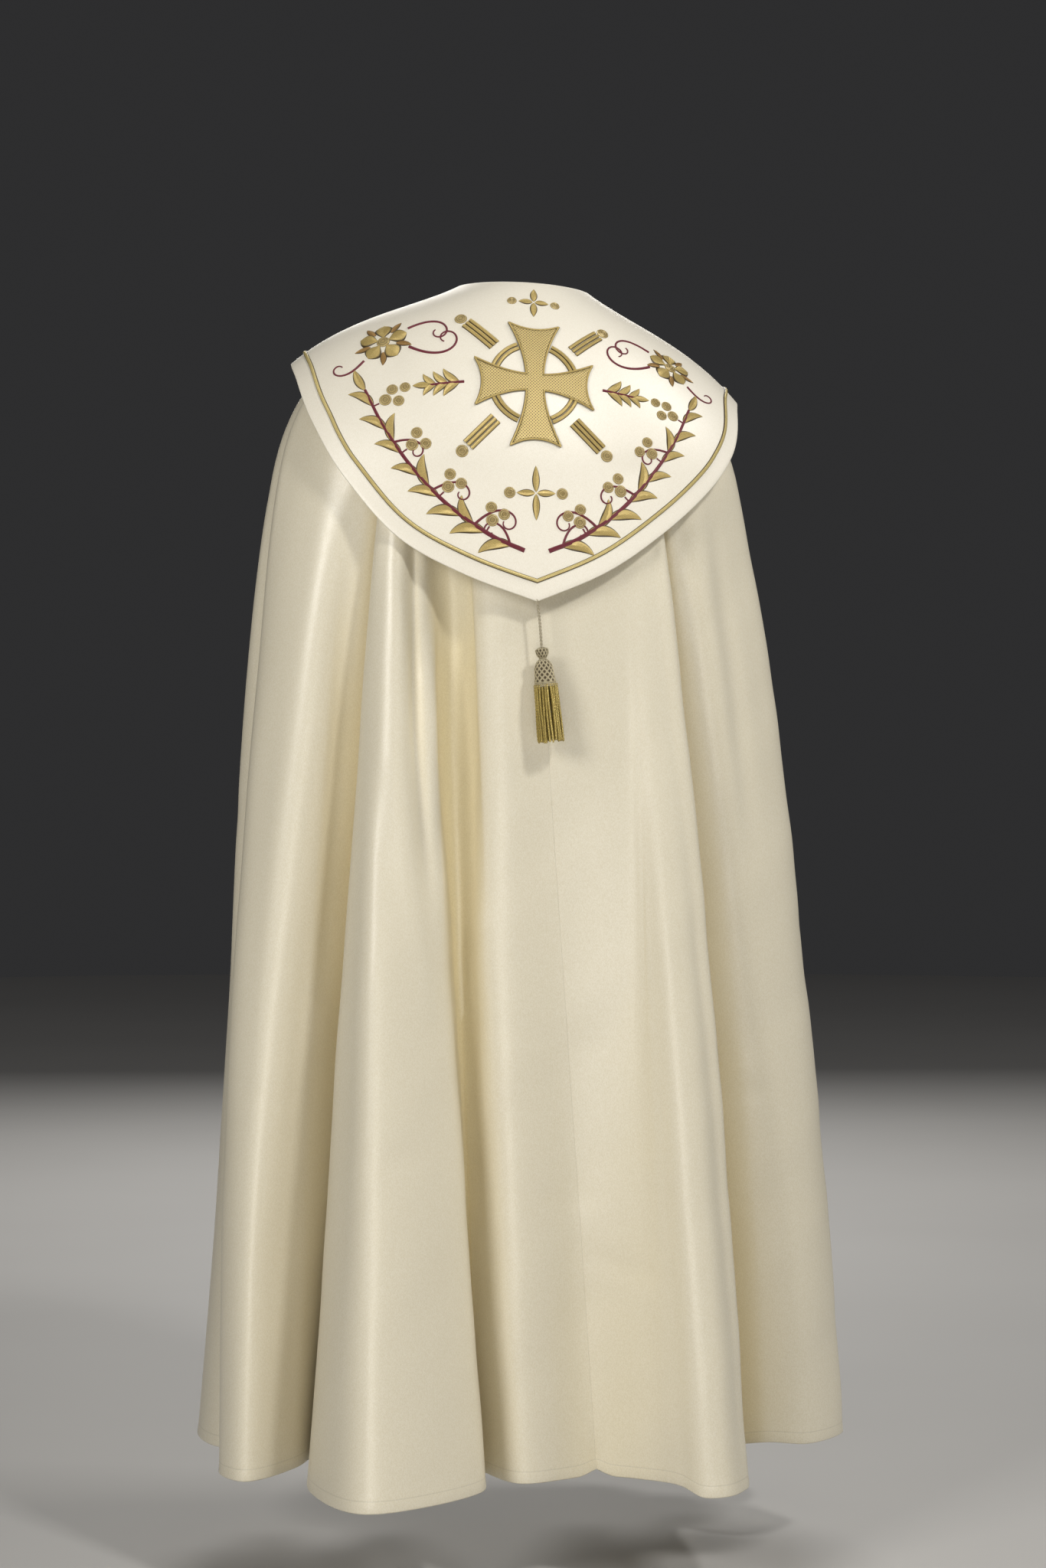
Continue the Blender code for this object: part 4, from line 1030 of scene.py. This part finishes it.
def tasselPlace(local):
    # from the tassel's own axes, down from the knot's top, to the frame: leaning towards +X at the foot
    x, y, down = np.moveaxis(local, -1, 0)
    c, s = math.cos(tassel["lean"]), math.sin(tassel["lean"])
    return np.stack([x * c + down * s, y, x * s - down * c], -1) + tasselTop


def tubeParts(path, radius, sides=8):
    # a tube round a path in space, the radius given for each place and side
    run = unit(np.gradient(path, axis=0))
    first = unit(np.cross(run, (0.0, 1.0, 0.0)))
    angle = np.linspace(0, 2 * math.pi, sides, endpoint=False)
    radius = np.broadcast_to(radius, (len(path), sides))
    spokes = first[:, None] * np.cos(angle)[:, None] + np.cross(run, first)[:, None] * np.sin(angle)[:, None]
    points = path[:, None] + radius[..., None] * spokes
    along = np.broadcast_to(runAlong(path)[:, None], radius.shape)
    uv = np.stack([along, np.broadcast_to(angle * radius.mean(), radius.shape)], -1).reshape(-1, 2)
    return points.reshape(-1, 3), loopFaces(*radius.shape), uv, np.zeros(radius.size)


def makeCord():
    # two plies wound round the cord's line, half a turn apart
    share = np.linspace(0, 1, 160)[:, None]
    line = cordTop + (tasselTop - (0, 0, 0.001) - cordTop) * share + np.array([0.0006, 0, 0]) * np.sin(math.pi * share)
    parts = []
    for ply in (0, math.pi):
        angle = share[:, 0] * 2 * math.pi * tassel["cordTurns"] + ply
        off = tassel["plyAway"] * np.stack([np.cos(angle), np.sin(angle), 0 * angle], -1)
        parts.append(tubeParts(line + off, tassel["plyRadius"]))
    piece = makeWork("twisted_cord", parts, cordMetal, "tassel_cord")


def makeTasselHead():
    # the turned profile, raised where two families of slanting cords cross round it
    rows = np.array(tassel["profile"], float)
    down = np.linspace(0, rows[-1, 0], tassel["rows"])
    at = np.interp(down, rows[:, 0], np.arange(len(rows), dtype=float))
    radius = throughRows(rows, rows[:, 0], at)[:, 1:]
    angle = np.linspace(0, 2 * math.pi, tassel["sides"], endpoint=False)
    turns = angle * tassel["meshes"] / (2 * math.pi)
    level = down[:, None]
    phases = ((turns + way * level / tassel["climb"]) % 1 for way in (1, -1))
    net = np.maximum(*(np.clip(1 - np.abs(phase - 0.5) / 0.30, 0, 1) for phase in phases))
    band = (level > tassel["bandTop"]) | (np.abs(level - tassel["neck"]) < 0.0016)
    net = np.where(band, 0.55 + 0.45 * np.sin(level / 0.0011 * 2 * math.pi), net)
    r = radius - 0.0004 + tassel["netHeight"] * net
    r = np.concatenate([r, under["wide"] * r[-1:]])  # the last loop turns in under the head
    level = np.append(down, down[-1])[:, None]
    points = np.stack([r * np.cos(angle), r * np.sin(angle), np.broadcast_to(level, r.shape)], -1)
    uv = np.stack([np.broadcast_to(angle * 0.010, r.shape), np.broadcast_to(level, r.shape)], -1).reshape(-1, 2)
    edge = np.append(net, np.zeros(tassel["sides"]))
    part = (tasselPlace(points).reshape(-1, 3), loopFaces(*r.shape), uv, edge)
    return makeWork("tassel_head", [part], netting, "tassel")


def makeTasselSkirt():
    # bullion strands in three rings, each a tube whose section is two lobes turning as it goes down
    draw = np.random.default_rng(7)
    share = np.linspace(0, 1, 46)
    sides = np.linspace(0, 2 * math.pi, 8, endpoint=False)
    spread = 1 + 0.17 * (1 - (1 - share) ** 2)
    taper = np.clip((1 - share) / 0.02 + 0.35, 0, 1)[:, None]
    parts = []
    for ringRadius, count, extra in tassel["strandRings"]:
        for k in range(count):
            angle = 2 * math.pi * (k + draw.uniform(-0.12, 0.12)) / count
            length = tassel["strandLength"] + extra + draw.uniform(-0.0022, 0.0006)
            sway = 0.0006 * np.sin(share * math.pi * draw.uniform(0.8, 1.6) + draw.uniform(0, 6))
            x, y = direction(angle)[:, None] * ringRadius * spread
            path = np.stack([x + sway, y + sway * 0.5, tassel["skirtTop"] + share * length], -1)
            turns = share * length / tassel["strandTwist"] * 2 * math.pi + draw.uniform(0, 6)
            lobes = 1 + 0.26 * np.cos(2 * (sides - turns[:, None] / 2))
            parts.append(tubeParts(tasselPlace(path), tassel["strandRadius"] * lobes * taper))
    makeWork("tassel_strands", parts, strandGold, "tassel")


tasselHead = makeTasselHead()
makeTasselSkirt()
makeCord()


# clasp band across the breast

clasp = {"height": 0.052, "wall": 0.0024, "lift": 0.0006, "columns": 7, "bridge": 4, "across": 120, "rows": 36,
         "stitchInset": 0.005}


def makeClasp():
    # the first and last columns of the mantle below the yoke, moved out, and a straight bridge between them
    _, fallCurve = mantleCurves(foldColumns(coarseAt))
    yoke, below = fallCurve[0], bezier(fallCurve, 0.1)
    drop = clasp["height"] / np.linalg.norm(below[0] - yoke[0])
    rows = np.stack([yoke + (below - yoke) * drop * k / 2 for k in range(3)], axis=1)
    lift = (hood["mantleWall"] + clasp["wall"]) / 2 + clasp["lift"]
    right, left = (end + gridNormals(end) * lift for end in (rows[-clasp["columns"]:], rows[:clasp["columns"]]))
    bridge = [right[-1] + (left[0] - right[-1]) * k / clasp["bridge"] for k in range(1, clasp["bridge"])]
    knots = np.concatenate([right, bridge, left])
    at = np.linspace(0, len(knots) - 1, clasp["across"])
    top, bottom = (throughRows(knots[:, k], runAlong(knots[:, k]), at)[:, None] for k in (0, 2))
    middle = top + (bottom - top) * np.linspace(0, 1, clasp["rows"])[None, :, None]
    around, down = runs(middle)
    fromEdge = np.minimum(np.minimum(around, around[-1:] - around), np.minimum(down, down[:, -1:] - down))
    fromEdge = fromEdge + stitches["inset"] - clasp["stitchInset"]
    piece, _ = makeCloth("clasp_band_cloth", middle, gridNormals(middle, (0, 1, 0)), clasp["wall"], claspSatin,
                         (around, down), {"fromEdge": fromEdge}, steps=6)
    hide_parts("clasp_band")


makeClasp()


# floor and lights

floor = {"height": -1.47, "radius": 9.0, "sides": 64}
studio = {"colour": (0.60, 0.60, 0.62, 1), "strength": 0.045}
lights = (  # name, place, aim, size, watts, colour
    ("low front", (-0.60, -3.40, -1.10), (0.0, 0.0, -1.2), 1.5, 26, (1.0, 0.965, 0.88)),
    ("left", (-3.00, -3.10, 1.10), (0.0, 0.0, -0.7), 1.4, 80, (1.0, 0.975, 0.92)),
    ("upper right", (3.30, -1.00, 2.55), (0.0, 0.0, -0.5), 1.2, 70, (1.0, 0.98, 0.94)),
    ("high", (1.30, -3.32, 2.45), (0.0, 0.0, -0.5), 0.45, 70, (1.0, 0.985, 0.95)),
    ("front", (0.6, 4.2, 1.4), (0.0, 0.0, -0.5), 2.2, 90, (1.0, 0.985, 0.95)))


def makeFloor():
    angle = np.linspace(0, 2 * math.pi, floor["sides"], endpoint=False)
    x, y = floor["radius"] * np.cos(angle), floor["radius"] * np.sin(angle)
    mesh = bpy.data.meshes.new("floor")
    mesh.from_pydata(np.stack([x, y, np.full(len(x), floor["height"])], -1), [], [list(range(len(x)))])
    material, bench = newMaterial("pale floor")
    bench.dress(bench.mix(bench.noise(bench.place(), 1.2, 3.0), (0.46, 0.45, 0.44), (0.52, 0.51, 0.50)), 0.7)
    mesh.materials.append(material)
    addObject("floor", mesh)


def addLight(name, place, aim, size, watts, colour):
    lamp = bpy.data.lights.new(name, "AREA")
    lamp.shape = "SQUARE"
    lamp.size = size
    lamp.energy = watts
    lamp.color = colour
    back = unit(np.subtract(place, aim))
    right = unit(np.cross((0, 0, 1), back))
    turned = np.column_stack([right, np.cross(back, right), back, place])
    addObject(name, lamp).matrix_world = Matrix([*turned.tolist(), (0, 0, 0, 1)])


makeFloor()
for light in lights:
    addLight(*light)
world = bpy.data.worlds.new("studio")
world.use_nodes = True
background = world.node_tree.nodes["Background"].inputs
background[0].default_value = studio["colour"]
background[1].default_value = studio["strength"]
bpy.context.scene.world = world
print("floor and lights set")
